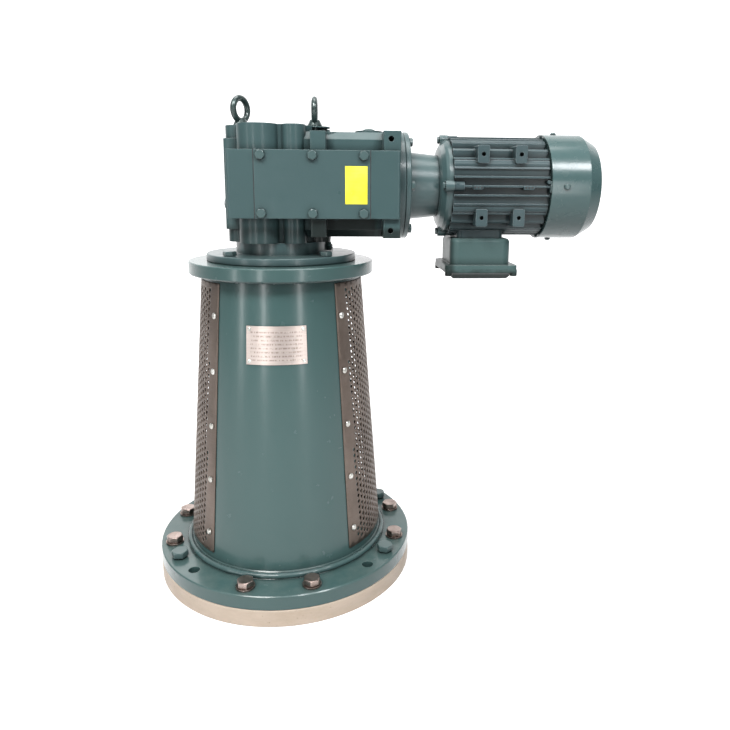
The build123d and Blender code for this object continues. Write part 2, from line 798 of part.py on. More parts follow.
with BuildPart() as gearbox_housing:
    # outside forms
    with BuildSketch(Plane.XY.offset(round_bottom)):
        Circle(round_end_radius)
    extrude(amount=round_end_height)
    with BuildSketch(Plane.XY.offset(boss_bottom)):
        lobed_boss()
    extrude(amount=boss_height)
    with BuildSketch(cross_plane(body_left)) as section:
        with Locations(((body_front + body_back) / 2, 0)):
            Rectangle(body_back - body_front, body_height)
        chamfer(section.vertices(), body_chamfer)
    extrude(amount=body_right - body_left)
    upright(0, body_left + 20, 0, body_back, round_bottom, round_top)
    upright(left_wall_x, left_wall_x + left_wall_depth, -left_wall_half, left_wall_half,
            left_bottom, left_top, 10)
    upright(block_left, block_right, block_front, body_front + 40, block_bottom, block_top, 4)
    for z0, z1 in ((block_top - 2, body_top - 2), (body_bottom + 2, block_bottom + 2)):
        upright(pad_left, pad_left + pad_width, block_front + 7, body_front + 10, z0, z1, 2)
    for z0, z1 in ((block_top - 2, block_top + lug_height), (block_bottom - lug_height, block_bottom + 2)):
        upright(lug_left, body_right, block_front + 7, body_front + 10, z0, z1, 2)
    with BuildSketch(Plane.XY.offset(body_top - 4)):
        with Locations((plug_boss_x, plug_boss_y)):
            Circle(plug_boss_radius)
    extrude(amount=7)
    with BuildSketch(cross_plane(input_start)):
        Circle(input_flange_radius)
    extrude(amount=-8)
    with BuildSketch(plug_plane(-upper_plug_x)):
        Circle(11)
    extrude(amount=boss_radius - upper_plug_x)
    with BuildSketch(level_plug_plane):
        Circle(10)
    extrude(amount=-housing_wall)
    # cavities
    with BuildSketch(Plane.XY.offset(round_bottom + housing_wall)):
        Circle(round_cavity)
    extrude(amount=round_end_height - 2 * housing_wall, mode=Mode.SUBTRACT)
    upright(10, body_right - housing_wall, body_front + housing_wall, body_back - housing_wall,
            body_bottom + housing_wall + 15, body_top - housing_wall - 15, 6, Mode.SUBTRACT)
    upright(block_left + housing_wall, block_right - 2 * housing_wall, gasket_face + cover_land,
            0, block_bottom + housing_wall, block_top - housing_wall, 4, Mode.SUBTRACT)
    # cover seat and its window
    upright(cover_left, cover_right, block_front, gasket_face, block_bottom, block_top, 0,
            Mode.SUBTRACT)
    upright(cover_left + window_margin, cover_right - window_margin, block_front,
            gasket_face + cover_land + 1, block_bottom + window_margin, block_top - window_margin,
            0, Mode.SUBTRACT)
    # the bevel pinion's bearing sleeve
    with BuildSketch(Plane(origin=(pinion_near_at[0] - 3, layshaft_y, motor_axis),
                           x_dir=(0, 1, 0), z_dir=(1, 0, 0))):
        Circle(input_boss)
    extrude(amount=input_start - pinion_near_at[0] + 3)
    with BuildSketch(Plane(origin=(input_start, layshaft_y, motor_axis), x_dir=(0, 1, 0),
                           z_dir=(1, 0, 0))):
        Circle(BEARING_25[1])
    extrude(amount=pinion_near_at[0] - 3 - input_start, mode=Mode.SUBTRACT)
    # bearing bores of the output shaft and of the layshaft
    with BuildSketch(Plane.XY.offset(boss_bottom)):
        Circle(bearing_outside)
    extrude(amount=boss_height, mode=Mode.SUBTRACT)
    with BuildSketch(Plane.XY.offset(body_bottom + 8)):
        with Locations((layshaft_x, layshaft_y)):
            Circle(BEARING_25[1])
    extrude(amount=body_height, mode=Mode.SUBTRACT)
    # tapped holes
    with Locations((0, 0, boss_top)):
        with PolarLocations(eye_circle, lobe_count, start_angle=lobe_angles[0]):
            Hole(5 + seat_gap, depth=eye_shank + 0.5)
    with Locations(Plane(origin=(0, 0, boss_bottom), x_dir=(1, 0, 0), z_dir=(0, 0, -1))):
        with PolarLocations(hub_screw_circle, lobe_count, start_angle=lobe_angles[0]):
            Hole(5 + seat_gap, depth=18)
    with Locations(*[Plane(origin=(x, gasket_face, z), x_dir=(1, 0, 0), z_dir=(0, -1, 0))
                     for x, z in cover_screw_spots]):
        Hole(4 + seat_gap, depth=14)
    with Locations(*[Plane(origin=(x, block_front + 7, z), x_dir=(1, 0, 0), z_dir=(0, -1, 0))
                     for x, z in lug_spots]):
        Hole(lug_hole, depth=lug_depth)
    with Locations(cross_plane(input_start)):
        with PolarLocations(input_bolt_circle, input_bolts_count):
            Hole(4 + seat_gap, depth=14)
    with Locations(plug_plane(-upper_plug_x), level_plug_plane, vent_plug_plane):
        Hole(plug_shank + seat_gap, depth=plug_depth)
save(gearbox_housing, "gearbox_housing")


# ---------------------------------------------------------------- gearbox cover, gasket and bolts
def cover_plane(y):
    """Plane facing -Y at y: local x is +X, local y is +Z."""
    return Plane(origin=(0, y, 0), x_dir=(1, 0, 0), z_dir=(0, -1, 0))


with BuildPart() as gearbox_cover:
    with BuildSketch(cover_plane(cover_face)):
        with Locations((cover_middle, motor_axis)):
            Rectangle(cover_width - 0.6, block_height)
    extrude(amount=cover_thickness)
    with Locations(*[cover_plane(block_front).shift_origin((x, block_front, z))
                     for x, z in cover_screw_spots]):
        Hole(4 + seat_gap, depth=cover_thickness)
save(gearbox_cover, "gearbox_cover")

cover_bolt_planes = [Plane(origin=(x, block_front, z), x_dir=(1, 0, 0), z_dir=(0, -1, 0))
                     for x, z in cover_screw_spots]
cover_bolts = placed(hex_bolt(4, cover_thickness + gasket_thickness + 12, 13, 5.3),
                     cover_bolt_planes)
save(cover_bolts, "cover_bolts")

with BuildPart() as cover_label:
    with BuildSketch(cover_plane(block_front)):
        with Locations((label_left + label_width / 2, label_bottom + label_height / 2)):
            Rectangle(label_width, label_height)
    extrude(amount=label_thickness)
save(cover_label, "cover_label")

with BuildPart() as oil_plugs:
    add(placed(hex_bolt(plug_shank, plug_depth - 0.5, 14, 7), [plug_plane(-upper_plug_x)]).part)
    add(placed(hex_bolt(plug_shank, plug_depth - 0.5, 14, 4), [level_plug_plane]).part)
    add(placed(hex_bolt(plug_shank, plug_depth - 0.5, 14, 8), [drain_plug_plane]).part)
    add(placed(round_screw(plug_shank, plug_depth - 0.5, 10, 4), [vent_plug_plane]).part)
save(oil_plugs, "oil_plugs")

# ---------------------------------------------------------------- bearing covers of the gearbox
with BuildPart() as bearing_covers:
    add(turned([(0, output_high_at[2] + BEARING_45[2]),
                (bearing_outside - seat_gap, output_high_at[2] + BEARING_45[2]),
                (bearing_outside - seat_gap, boss_top), (shaft_radius + 8, boss_top),
                (shaft_radius + 6, boss_top - 3), (0, boss_top - 3)]).part)
    add(turned([(0, -8), (BEARING_25[1] - seat_gap, -8), (BEARING_25[1] - seat_gap, 0), (0, 0)],
               (layshaft_x, layshaft_y, body_top)).part)
save(bearing_covers, "bearing_covers")

# ---------------------------------------------------------------- bearing outer rings
with BuildPart() as bearing_outer_rings:
    for at in (lower_bearing_at, output_low_at, output_high_at):
        add(outer_ring(BEARING_45, at, "Z").part)
    for at in (layshaft_low_at, layshaft_high_at):
        add(outer_ring(BEARING_25, at, "Z").part)
    for at in (pinion_near_at, pinion_far_at, drive_end_at):
        add(outer_ring(BEARING_25, at, "X").part)
    add(outer_ring(BEARING_20, fan_end_at, "X").part)
save(bearing_outer_rings, "bearing_outer_rings")

# ---------------------------------------------------------------- eyebolts of the gearbox
with BuildPart() as eye_bolts:
    for spot, turn in zip(eye_spots, (59, 90)):
        top = (spot[0], spot[1], boss_top)
        add(turned([(0, -eye_shank), (5, -eye_shank), (5, 0), (12, 0), (12, 3), (8, eye_collar + 3),
                    (0, eye_collar + 3)], top).part)
        a = radians(turn)
        ring_centre = (spot[0], spot[1], boss_top + eye_collar + eye_radius)
        ring_plane = Plane(origin=ring_centre, x_dir=(cos(a), sin(a), 0),
                           z_dir=(sin(a), -cos(a), 0))
        with Locations(ring_plane):
            Torus(eye_radius, eye_wire)
save(eye_bolts, "eye_bolts")


# ---------------------------------------------------------------- input flange, adapter, bolts
with BuildPart() as input_flange:
    with BuildSketch(cross_plane(input_start)):
        Circle(input_flange_radius)
        Circle(input_cavity_radius - 4, mode=Mode.SUBTRACT)
        with PolarLocations(input_bolt_circle, input_bolts_count):
            Circle(4 + seat_gap, mode=Mode.SUBTRACT)
    extrude(amount=input_flange_thickness)
save(input_flange, "input_flange")

with BuildPart() as motor_adapter:
    with BuildSketch(axis_plane((0, 0, motor_axis), "X")):
        with BuildLine():
            Polyline((motor_shaft_radius + 1, adapter_start + 7),
                     (motor_seal_radius, adapter_start + 7), (motor_seal_radius, adapter_start),
                     (input_flange_radius - 1.5, adapter_start),
                     (input_flange_radius, adapter_start + 1.5),
                     (input_flange_radius, cone_start - 1.5),
                     (input_flange_radius - 1.5, cone_start),
                     (adapter_start_radius + 2, cone_start),
                     (adapter_start_radius, cone_start + 3),
                     (adapter_end_radius, shield_start),
                     (adapter_end_radius - adapter_wall, shield_start),
                     (adapter_start_radius - adapter_wall, cone_start),
                     (motor_shaft_radius + 1, cone_start), close=True)
        make_face()
    revolve(axis=Axis((0, 0, motor_axis), (1, 0, 0)))
    with Locations(cross_plane(cone_start)):
        with PolarLocations(input_bolt_circle, input_bolts_count):
            Hole(4 + seat_gap, depth=adapter_flange_thickness)
save(motor_adapter, "motor_adapter")

input_bolt_planes = [Plane(origin=(cone_start, y, motor_axis + z), x_dir=(0, 1, 0), z_dir=(1, 0, 0))
                     for y, z in [polar(input_bolt_circle, radians(60 * k)) for k in range(6)]]
input_bolts = placed(hex_bolt(4, adapter_flange_thickness + input_flange_thickness + 12, 13, 5.3),
                     input_bolt_planes)
save(input_bolts, "input_bolts")

# ---------------------------------------------------------------- motor shields
rotor_bore = 14
with BuildPart() as drive_end_shield:
    with BuildSketch(axis_plane((shield_start, 0, motor_axis), "X")):
        with BuildLine():
            Polyline((14, 0), (adapter_end_radius + 3, 0), (shield_radius - 12, 2.5),
                     (shield_radius - 3, 8), (shield_radius, 13), (shield_radius, shield_thickness),
                     (frame_bore - seat_gap, shield_thickness),
                     (frame_bore - seat_gap, shield_thickness + 4),
                     (frame_bore - 6, shield_thickness + 4), (frame_bore - 8, 9), (34, 9),
                     (34, 17), (BEARING_25[1], 17), (BEARING_25[1], 2), (14, 2), close=True)
        make_face()
    revolve(axis=Axis((0, 0, motor_axis), (1, 0, 0)))
    with BuildSketch(cross_plane(shield_start + 5)):
        with PolarLocations(shield_lug_circle, 4):
            Circle(shield_lug_radius)
            with Locations((-shield_lug_radius, 0)):
                Rectangle(2 * shield_lug_radius, 2 * shield_lug_radius)
        Circle(frame_bore, mode=Mode.SUBTRACT)
    extrude(amount=shield_thickness - 5)
    with Locations(cross_plane(frame_start)):
        with PolarLocations(shield_lug_circle, 4):
            Hole(3 + seat_gap, depth=shield_thickness - 5)
save(drive_end_shield, "drive_end_shield")

shield_bolt_planes = [Plane(origin=(shield_start + 5, y, motor_axis + z), x_dir=(0, 1, 0),
                            z_dir=(-1, 0, 0))
                      for y, z in [polar(shield_lug_circle, radians(90 * k)) for k in range(4)]]
shield_bolts = placed(hex_bolt(3, shield_thickness + 4, 10, 4), shield_bolt_planes)
save(shield_bolts, "shield_bolts")

with BuildPart() as rear_end_shield:
    with BuildSketch(axis_plane((frame_end, 0, motor_axis), "X")):
        with BuildLine():
            Polyline((rotor_bore + 1, -8), (rotor_bore + 1, -10), (28, -10), (32, -2),
                     (frame_bore - 8, -2),
                     (frame_bore - 8, -4), (frame_bore - seat_gap, -4), (frame_bore - seat_gap, 0),
                     (shield_radius - 2, 0), (shield_radius - 2, rear_shield_thickness),
                     (BEARING_20[1], rear_shield_thickness), (BEARING_20[1], -8), close=True)
        make_face()
    revolve(axis=Axis((0, 0, motor_axis), (1, 0, 0)))
    with BuildSketch(cross_plane(frame_end)):
        with PolarLocations(fan_cover_radius - fan_cover_wall - 6 - seat_gap, 4):
            Rectangle(12, 18)
        Circle(fan_cover_radius - fan_cover_wall - seat_gap, mode=Mode.INTERSECT)
    extrude(amount=fan_screw_x + 8 - frame_end)
    with Locations(*[Plane(origin=(fan_screw_x, y, motor_axis + z), x_dir=(1, 0, 0), z_dir=(0, y, z))
                     for y, z in [polar(fan_cover_radius, radians(90 * k)) for k in range(4)]]):
        Hole(2.5 + seat_gap, depth=12)
save(rear_end_shield, "rear_end_shield")

# ---------------------------------------------------------------- finned motor frame
foot_spots = [(foot_middle_x + i * foot_spacing_x / 2, j * foot_spacing_z / 2)
              for i in (-1, 1) for j in (-1, 1)]
fin_offsets = [k * fin_pitch for k in range(-fins_each_side, fins_each_side + 1)]
with BuildPart() as motor_frame:
    with BuildSketch(cross_plane(frame_start)):
        for offset in fin_offsets:
            with Locations((0, offset)):
                Rectangle(2 * fin_radius, fin_thickness)
            with Locations((offset, 0)):
                Rectangle(fin_thickness, 2 * fin_radius)
        Circle(fin_radius, mode=Mode.INTERSECT)
        Circle(frame_core_radius)
        Circle(frame_bore, mode=Mode.SUBTRACT)
    extrude(amount=frame_length)
    with BuildSketch(cross_plane(frame_start)):
        with PolarLocations(shield_lug_circle, 4):
            Circle(shield_lug_radius - 1)
            with Locations((-shield_lug_radius, 0)):
                Rectangle(2 * shield_lug_radius, 2 * shield_lug_radius - 2)
        Circle(frame_bore, mode=Mode.SUBTRACT)
    extrude(amount=16)
    for side in (-1, 1):
        with BuildSketch(Plane(origin=(0, side * foot_face, motor_axis), x_dir=(1, 0, 0),
                               z_dir=(0, -side, 0))):
            with Locations(*[(x, z) for x, z in foot_spots]):
                RectangleRounded(foot_width, foot_height, 3)
        extrude(amount=foot_face - 45)
    with BuildSketch(Plane.XY.offset(box_top)):
        with Locations((box_middle_x, 0)):
            RectangleRounded(neck_length, neck_width, 8)
    extrude(amount=motor_axis - frame_bore - box_top + 20)
    with BuildSketch(cross_plane(frame_start)):
        Circle(frame_bore)
    extrude(amount=frame_length, mode=Mode.SUBTRACT)
    for side in (-1, 1):
        with Locations(*[Plane(origin=(x, side * foot_face, motor_axis + z), x_dir=(1, 0, 0),
                               z_dir=(0, side, 0)) for x, z in foot_spots]):
            Hole(foot_hole, depth=foot_hole_depth)
    with Locations(cross_plane(frame_start).offset(16)):
        with PolarLocations(shield_lug_circle, 4):
            Hole(3 + seat_gap, depth=16)
    with BuildSketch(Plane.XY.offset(box_top)):
        with Locations((box_middle_x, 0)):
            Circle(wire_hole)
    extrude(amount=motor_axis - frame_bore - box_top + 10, mode=Mode.SUBTRACT)
save(motor_frame, "motor_frame")


# ---------------------------------------------------------------- stator
with BuildPart() as stator_core:
    with BuildSketch(cross_plane(stator_start)):
        Circle(frame_bore - seat_gap)
        Circle(stator_bore, mode=Mode.SUBTRACT)
    extrude(amount=stator_length)
save(stator_core, "stator_core")

with BuildPart() as stator_windings:
    for x in (stator_start - winding_length, stator_start + stator_length):
        with BuildSketch(cross_plane(x)):
            Circle(frame_bore - 6)
            Circle(stator_bore + 6, mode=Mode.SUBTRACT)
        extrude(amount=winding_length)
    chamfer(stator_windings.edges().filter_by(GeomType.CIRCLE).group_by(Axis.X)[0], 4)
    chamfer(stator_windings.edges().filter_by(GeomType.CIRCLE).group_by(Axis.X)[-1], 4)
save(stator_windings, "stator_windings")

# ---------------------------------------------------------------- fan cover and its screws
def fan_cover_side(wall):
    """Corners of the cover's profile, set in by a wall: side, shoulder and domed end."""
    shoulder = fan_cover_straight + fan_shoulder_length
    return [(fan_cover_radius - wall, 0), (fan_cover_radius - wall, fan_cover_straight - wall / 3),
            (fan_shoulder_radius - wall, shoulder - wall / 2),
            (fan_end_flat, fan_cover_length - 1.5 - wall), (0, fan_cover_length - wall)]


with BuildPart() as fan_cover:
    with BuildSketch(axis_plane((fan_cover_start, 0, motor_axis), "X")):
        with BuildLine():
            Polyline(*fan_cover_side(0), *reversed(fan_cover_side(fan_cover_wall)), close=True)
        make_face()
    revolve(axis=Axis((0, 0, motor_axis), (1, 0, 0)))
    with BuildSketch(cross_plane(fan_cover_start + fan_cover_length)):
        with PolarLocations(30, 16):
            SlotOverall(18, 4.5)
    extrude(amount=-6, mode=Mode.SUBTRACT)
    with Locations(*[Plane(origin=(fan_screw_x, y, motor_axis + z), x_dir=(1, 0, 0), z_dir=(0, y, z))
                     for y, z in [polar(fan_cover_radius, radians(90 * k)) for k in range(4)]]):
        Hole(2.5 + seat_gap, depth=fan_cover_wall + 1)
save(fan_cover, "fan_cover")

fan_screw_planes = [Plane(origin=(fan_screw_x, y, motor_axis + z), x_dir=(1, 0, 0), z_dir=(0, y, z))
                    for y, z in [polar(fan_cover_radius + 0.4, radians(90 * k)) for k in range(4)]]
fan_cover_screws = placed(round_screw(2.5, 11, 5, 3.5), fan_screw_planes)
save(fan_cover_screws, "fan_cover_screws")

# ---------------------------------------------------------------- terminal box
lid_spots = [(box_middle_x + i * (lid_length / 2 - 8), j * (lid_width / 2 - 8))
             for i in (-1, 1) for j in (-1, 1)]
entry_spots = [(box_middle_x - entry_offset, box_bottom + box_height / 2),
               (box_middle_x + entry_offset, box_bottom + box_height / 2)]
with BuildPart() as terminal_box:
    with BuildSketch(Plane.XY.offset(lid_top)):
        with Locations((box_middle_x, 0)):
            RectangleRounded(lid_length, lid_width, 10)
    extrude(amount=lid_rim)
    with BuildSketch(Plane.XY.offset(box_bottom)):
        with Locations((box_middle_x, 0)):
            RectangleRounded(box_length, box_width, 16)
    extrude(amount=box_height)
    fillet(terminal_box.faces().sort_by(Axis.Z)[-1].edges(), 8)
    with BuildSketch(Plane(origin=(0, box_width / 2 + 6, 0), x_dir=(1, 0, 0), z_dir=(0, -1, 0))):
        with Locations(*entry_spots):
            Circle(entry_radius + 5)
    extrude(amount=16)
    with BuildSketch(Plane.XY.offset(lid_top)):
        with Locations((box_middle_x, 0)):
            RectangleRounded(box_length - 2 * box_wall, box_width - 2 * box_wall, 12)
    extrude(amount=box_height + lid_rim - box_wall - 1, mode=Mode.SUBTRACT)
    with BuildSketch(Plane.XY.offset(box_top - 10)):
        with Locations((box_middle_x, 0)):
            Circle(wire_hole)
    extrude(amount=10, mode=Mode.SUBTRACT)
    with BuildSketch(Plane(origin=(0, box_width / 2 + 6, 0), x_dir=(1, 0, 0), z_dir=(0, -1, 0))):
        with Locations(*entry_spots):
            Circle(entry_radius)
    extrude(amount=16, mode=Mode.SUBTRACT)
    with Locations(*[Plane(origin=(x, y, lid_top), x_dir=(1, 0, 0), z_dir=(0, 0, -1))
                     for x, y in lid_spots]):
        Hole(2.5 + seat_gap, depth=lid_rim)
save(terminal_box, "terminal_box")

lid_seat = lid_top - gasket_thickness
with BuildPart() as terminal_box_lid:
    with BuildSketch(Plane.XY.offset(lid_seat)):
        with Locations((box_middle_x, 0)):
            RectangleRounded(lid_length, lid_width, 10)
    extrude(amount=-lid_thickness)
    with BuildSketch(Plane.XY.offset(lid_seat - lid_thickness)):
        with Locations((box_middle_x, 0)):
            RectangleRounded(lid_length - 40, lid_width - 40, 10)
    extrude(amount=-pan_depth, taper=20)
    with Locations(*[(x, y, lid_seat) for x, y in lid_spots]):
        Hole(2.5 + seat_gap, depth=lid_thickness)
save(terminal_box_lid, "terminal_box_lid")

lid_screws = placed(round_screw(2.5, lid_thickness + gasket_thickness + 7, 5, 3.5),
                    [Plane(origin=(x, y, lid_seat - lid_thickness), x_dir=(1, 0, 0),
                           z_dir=(0, 0, -1)) for x, y in lid_spots])
save(lid_screws, "lid_screws")

with BuildPart() as gaskets:
    with BuildSketch(cover_plane(gasket_face)):
        with Locations((cover_middle, motor_axis)):
            Rectangle(cover_width - 2, block_height - 2)
            Rectangle(cover_width - 2 * window_margin, block_height - 2 * window_margin,
                      mode=Mode.SUBTRACT)
        with Locations(*cover_screw_spots):
            Circle(4 + 2 * seat_gap, mode=Mode.SUBTRACT)
    extrude(amount=gasket_thickness)
    with BuildSketch(Plane.XY.offset(lid_seat)):
        with Locations((box_middle_x, 0)):
            RectangleRounded(lid_length - 2, lid_width - 2, 9)
            RectangleRounded(box_length - 2 * box_wall, box_width - 2 * box_wall, 12,
                             mode=Mode.SUBTRACT)
        with Locations(*lid_spots):
            Circle(2.5 + 2 * seat_gap, mode=Mode.SUBTRACT)
    extrude(amount=gasket_thickness)
save(gaskets, "gaskets")

block_top_z = box_top - box_wall - 1
with BuildPart() as terminal_block:
    with BuildSketch(Plane.XY.offset(block_top_z - 12)):
        with Locations((box_middle_x, -30)):
            RectangleRounded(64, 28, 3)
    extrude(amount=12)
save(terminal_block, "terminal_block")
stud_planes = [Plane(origin=(box_middle_x + i * 20, -30 + j * 7, block_top_z - 12),
                     x_dir=(1, 0, 0), z_dir=(0, 0, -1)) for i in (-1, 0, 1) for j in (-1, 1)]
with BuildPart() as terminal_studs:
    with Locations(*stud_planes):
        Cylinder(2.5, 14, align=(Align.CENTER, Align.CENTER, Align.MIN))
save(terminal_studs, "terminal_studs")

entry_plane = Plane(origin=(entry_spots[1][0], box_width / 2 + 6, entry_spots[1][1]),
                    x_dir=(1, 0, 0), z_dir=(0, 1, 0))
blanking_plug = placed(hex_bolt(entry_radius - seat_gap, 9, 28, 5), [entry_plane])
save(blanking_plug, "blanking_plug")

# ---------------------------------------------------------------- output shaft and its wheel
shoulder = 3.5
seat = BEARING_45[0] - run_gap
output_shaft = turned([(0, coupling_middle + 1), (seat, coupling_middle + 1),
                       (seat, output_low_at[2] + BEARING_45[2]),
                       (seat + shoulder, output_low_at[2] + BEARING_45[2]),
                       (seat + shoulder, output_high_at[2]), (seat, output_high_at[2]),
                       (seat, output_high_at[2] + BEARING_45[2] - 1),
                       (0, output_high_at[2] + BEARING_45[2] - 1)])
save(output_shaft, "output_shaft")


def helical_gear(plane, module, teeth, face, turn, twist, bore, spans=3):
    """Helical gear: ruled stretches between outlines turned step by step along the face."""
    with BuildPart() as wheel:
        for k in range(spans + 1):
            with BuildSketch(plane.offset(face * k / spans)):
                with BuildLine():
                    spur_outline(module, teeth, turn + twist * k / spans, flank_play)
                make_face()
        loft(ruled=True)
        if bore > 0:
            with BuildSketch(plane):
                Circle(bore)
            extrude(amount=face, mode=Mode.SUBTRACT)
    return wheel


output_pitch = output_module * output_wheel_teeth / 2
pinion_pitch = output_module * output_pinion_teeth / 2
wheel_twist = output_face * tan(radians(output_helix)) / output_pitch
pinion_twist = -output_face * tan(radians(output_helix)) / pinion_pitch
mesh_turn = radians(mesh_angle)
wheel_turn = mesh_turn + pi + pi / output_wheel_teeth

output_wheel = helical_gear(Plane.XY.offset(output_wheel_bottom), output_module,
                            output_wheel_teeth, output_face, wheel_turn, wheel_twist,
                            seat + shoulder + run_gap)
save(output_wheel, "output_wheel")

output_inner_rings = placed(inner_ring(BEARING_45, (0, 0, 0), "Z"),
                            [Plane(origin=at) for at in (lower_bearing_at, output_low_at,
                                                         output_high_at)])
save(output_inner_rings, "output_inner_rings")

# ---------------------------------------------------------------- coupling and drive shaft
half_gap = 0.5
coupling_planes = [Plane(origin=(0, 0, coupling_middle + half_gap)),
                   Plane(origin=(0, 0, coupling_middle - half_gap), x_dir=(1, 0, 0),
                         z_dir=(0, 0, -1))]
with BuildPart() as coupling_half:
    add(turned([(shaft_radius, 0), (coupling_flange_radius, 0),
                (coupling_flange_radius, coupling_flange_thickness),
                (coupling_hub_radius, coupling_flange_thickness),
                (coupling_hub_radius, coupling_hub_length), (shaft_radius, coupling_hub_length)]).part)
    with Locations((0, 0, coupling_flange_thickness)):
        with PolarLocations(coupling_bolt_circle, coupling_bolts_count):
            Hole(6 + seat_gap, depth=coupling_flange_thickness)
coupling_halves = placed(coupling_half, coupling_planes)
save(coupling_halves, "coupling_halves")

bolt_reach = coupling_middle + half_gap + coupling_flange_thickness
with BuildPart() as coupling_bolts:
    add(placed(hex_bolt(6, 2 * coupling_flange_thickness + 2 * half_gap + 12, 19, 7.5),
               [Plane(origin=(*polar(coupling_bolt_circle, radians(60 * k)), bolt_reach))
                for k in range(coupling_bolts_count)]).part)
save(coupling_bolts, "coupling_bolts")

stub_top = stub_bottom + stub_length
with BuildPart() as drive_shaft:
    with BuildSketch(Plane.XZ):
        with BuildLine():
            Polyline((agitator_bore, stub_bottom), (stub_radius - 1, stub_bottom),
                     (stub_radius, stub_bottom + 1), (stub_radius, stub_top), (seat, stub_top + 4),
                     (seat, coupling_middle - 1), (0, coupling_middle - 1),
                     (0, stub_bottom + agitator_bore_depth),
                     (agitator_bore, stub_bottom + agitator_bore_depth), close=True)
        make_face()
    revolve(axis=Axis.Z)
save(drive_shaft, "drive_shaft")

rotating_seal_ring = turned([(shaft_radius, seal_height + seal_thickness + run_gap),
                             (shaft_radius + 9, seal_height + seal_thickness + run_gap),
                             (shaft_radius + 9, lower_bearing_height - 6),
                             (shaft_radius, lower_bearing_height - 6)])
save(rotating_seal_ring, "rotating_seal_ring")

# ---------------------------------------------------------------- layshaft
lay_seat = BEARING_25[0] - run_gap
lay_body = 15
bevel_back = 38
with BuildPart() as layshaft:
    add(turned([(0, layshaft_low_at[2] + 1), (lay_seat, layshaft_low_at[2] + 1),
                (lay_seat, layshaft_low_at[2] + BEARING_25[2]),
                (lay_body, layshaft_low_at[2] + BEARING_25[2]), (lay_body, layshaft_high_at[2]),
                (lay_seat, layshaft_high_at[2]),
                (lay_seat, layshaft_high_at[2] + BEARING_25[2] - 1),
                (0, layshaft_high_at[2] + BEARING_25[2] - 1)], (layshaft_x, layshaft_y, 0)).part)
    add(helical_gear(Plane(origin=(layshaft_x, layshaft_y, output_wheel_bottom)), output_module,
                     output_pinion_teeth, output_face, mesh_turn, pinion_twist, 0).part)
save(layshaft, "layshaft")

layshaft_inner_rings = placed(inner_ring(BEARING_25, (0, 0, 0), "Z"),
                              [Plane(origin=at) for at in (layshaft_low_at, layshaft_high_at)])
save(layshaft_inner_rings, "layshaft_inner_rings")


def bevel_gear(plane, pitch, mate_pitch, teeth, addendum, dedendum, turn, body):
    """Straight bevel gear with its apex at the plane's origin, standing towards -z."""
    tooth = bevel_tooth(pitch, mate_pitch, teeth, addendum, dedendum)
    with BuildPart() as wheel:
        add(turned(body).part)
        with PolarLocations(0, teeth, start_angle=turn):
            add(tooth.part)
    return placed(wheel, [plane])


def bevel_body(pitch, mate_pitch, teeth, dedendum, back, hub, bore):
    """Profile of a bevel gear's body under its teeth."""
    module = 2 * pitch / teeth
    cone = sqrt(pitch**2 + mate_pitch**2)
    small = (cone - bevel_face) / cone
    outer = cone_point(pitch, mate_pitch, -dedendum * module, 1)
    inner = cone_point(pitch, mate_pitch, -dedendum * module, small)
    return [(bore, inner[1]), inner, outer, (outer[0] - 1, -back), (hub, -back),
            (bore, -back)] if hub == bore else [(bore, inner[1]), inner, outer,
            (outer[0] - 3, outer[1] - 8), (hub, outer[1] - 8), (hub, -back), (bore, -back)]


wheel_body = bevel_body(bevel_wheel_pitch, bevel_pinion_pitch, bevel_wheel_teeth, 1.4, bevel_back,
                        lay_body + 9, lay_body + run_gap)
bevel_wheel = bevel_gear(Plane(origin=(layshaft_x, layshaft_y, motor_axis)), bevel_wheel_pitch,
                         bevel_pinion_pitch, bevel_wheel_teeth, 0.8, 1.4,
                         180 / bevel_wheel_teeth, wheel_body)
save(bevel_wheel, "bevel_wheel")

# ---------------------------------------------------------------- bevel pinion shaft
outer_root = cone_point(bevel_pinion_pitch, bevel_wheel_pitch, -1.0 * bevel_module, 1)
small_scale = 1 - bevel_face / sqrt(bevel_pinion_pitch**2 + bevel_wheel_pitch**2)
inner_root = cone_point(bevel_pinion_pitch, bevel_wheel_pitch, -1.0 * bevel_module, small_scale)
near = pinion_near_at[0] - layshaft_x
far = pinion_far_at[0] - layshaft_x
width = BEARING_25[2]
wheel_start = gear_start - layshaft_x
pinion_profile = [(0, inner_root[1]), inner_root, outer_root, (lay_body, outer_root[1] - 4),
                  (lay_body, -near), (lay_seat, -near), (lay_seat, -near - width),
                  (lay_body, -near - width), (lay_body, -far), (lay_seat, -far),
                  (lay_seat, -far - width), (10, -far - width), (10, -wheel_start - input_face - 0.5),
                  (0, -wheel_start - input_face - 0.5)]
bevel_pinion_shaft = bevel_gear(Plane(origin=(layshaft_x, layshaft_y, motor_axis),
                                      x_dir=(0, 0, -1), z_dir=(-1, 0, 0)), bevel_pinion_pitch,
                                bevel_wheel_pitch, bevel_pinion_teeth, 1.2, 1.0, 0, pinion_profile)
save(bevel_pinion_shaft, "bevel_pinion_shaft")

pinion_inner_rings = placed(inner_ring(BEARING_25, (0, 0, 0), "X"),
                            [Plane(origin=at) for at in (pinion_near_at, pinion_far_at)])
save(pinion_inner_rings, "pinion_inner_rings")

input_wheel = gear(Plane(origin=(gear_start, layshaft_y, motor_axis), x_dir=(0, 1, 0),
                         z_dir=(1, 0, 0)), input_module, input_wheel_teeth, input_face,
                   pi / input_wheel_teeth, 10 + run_gap)
save(input_wheel, "input_wheel")

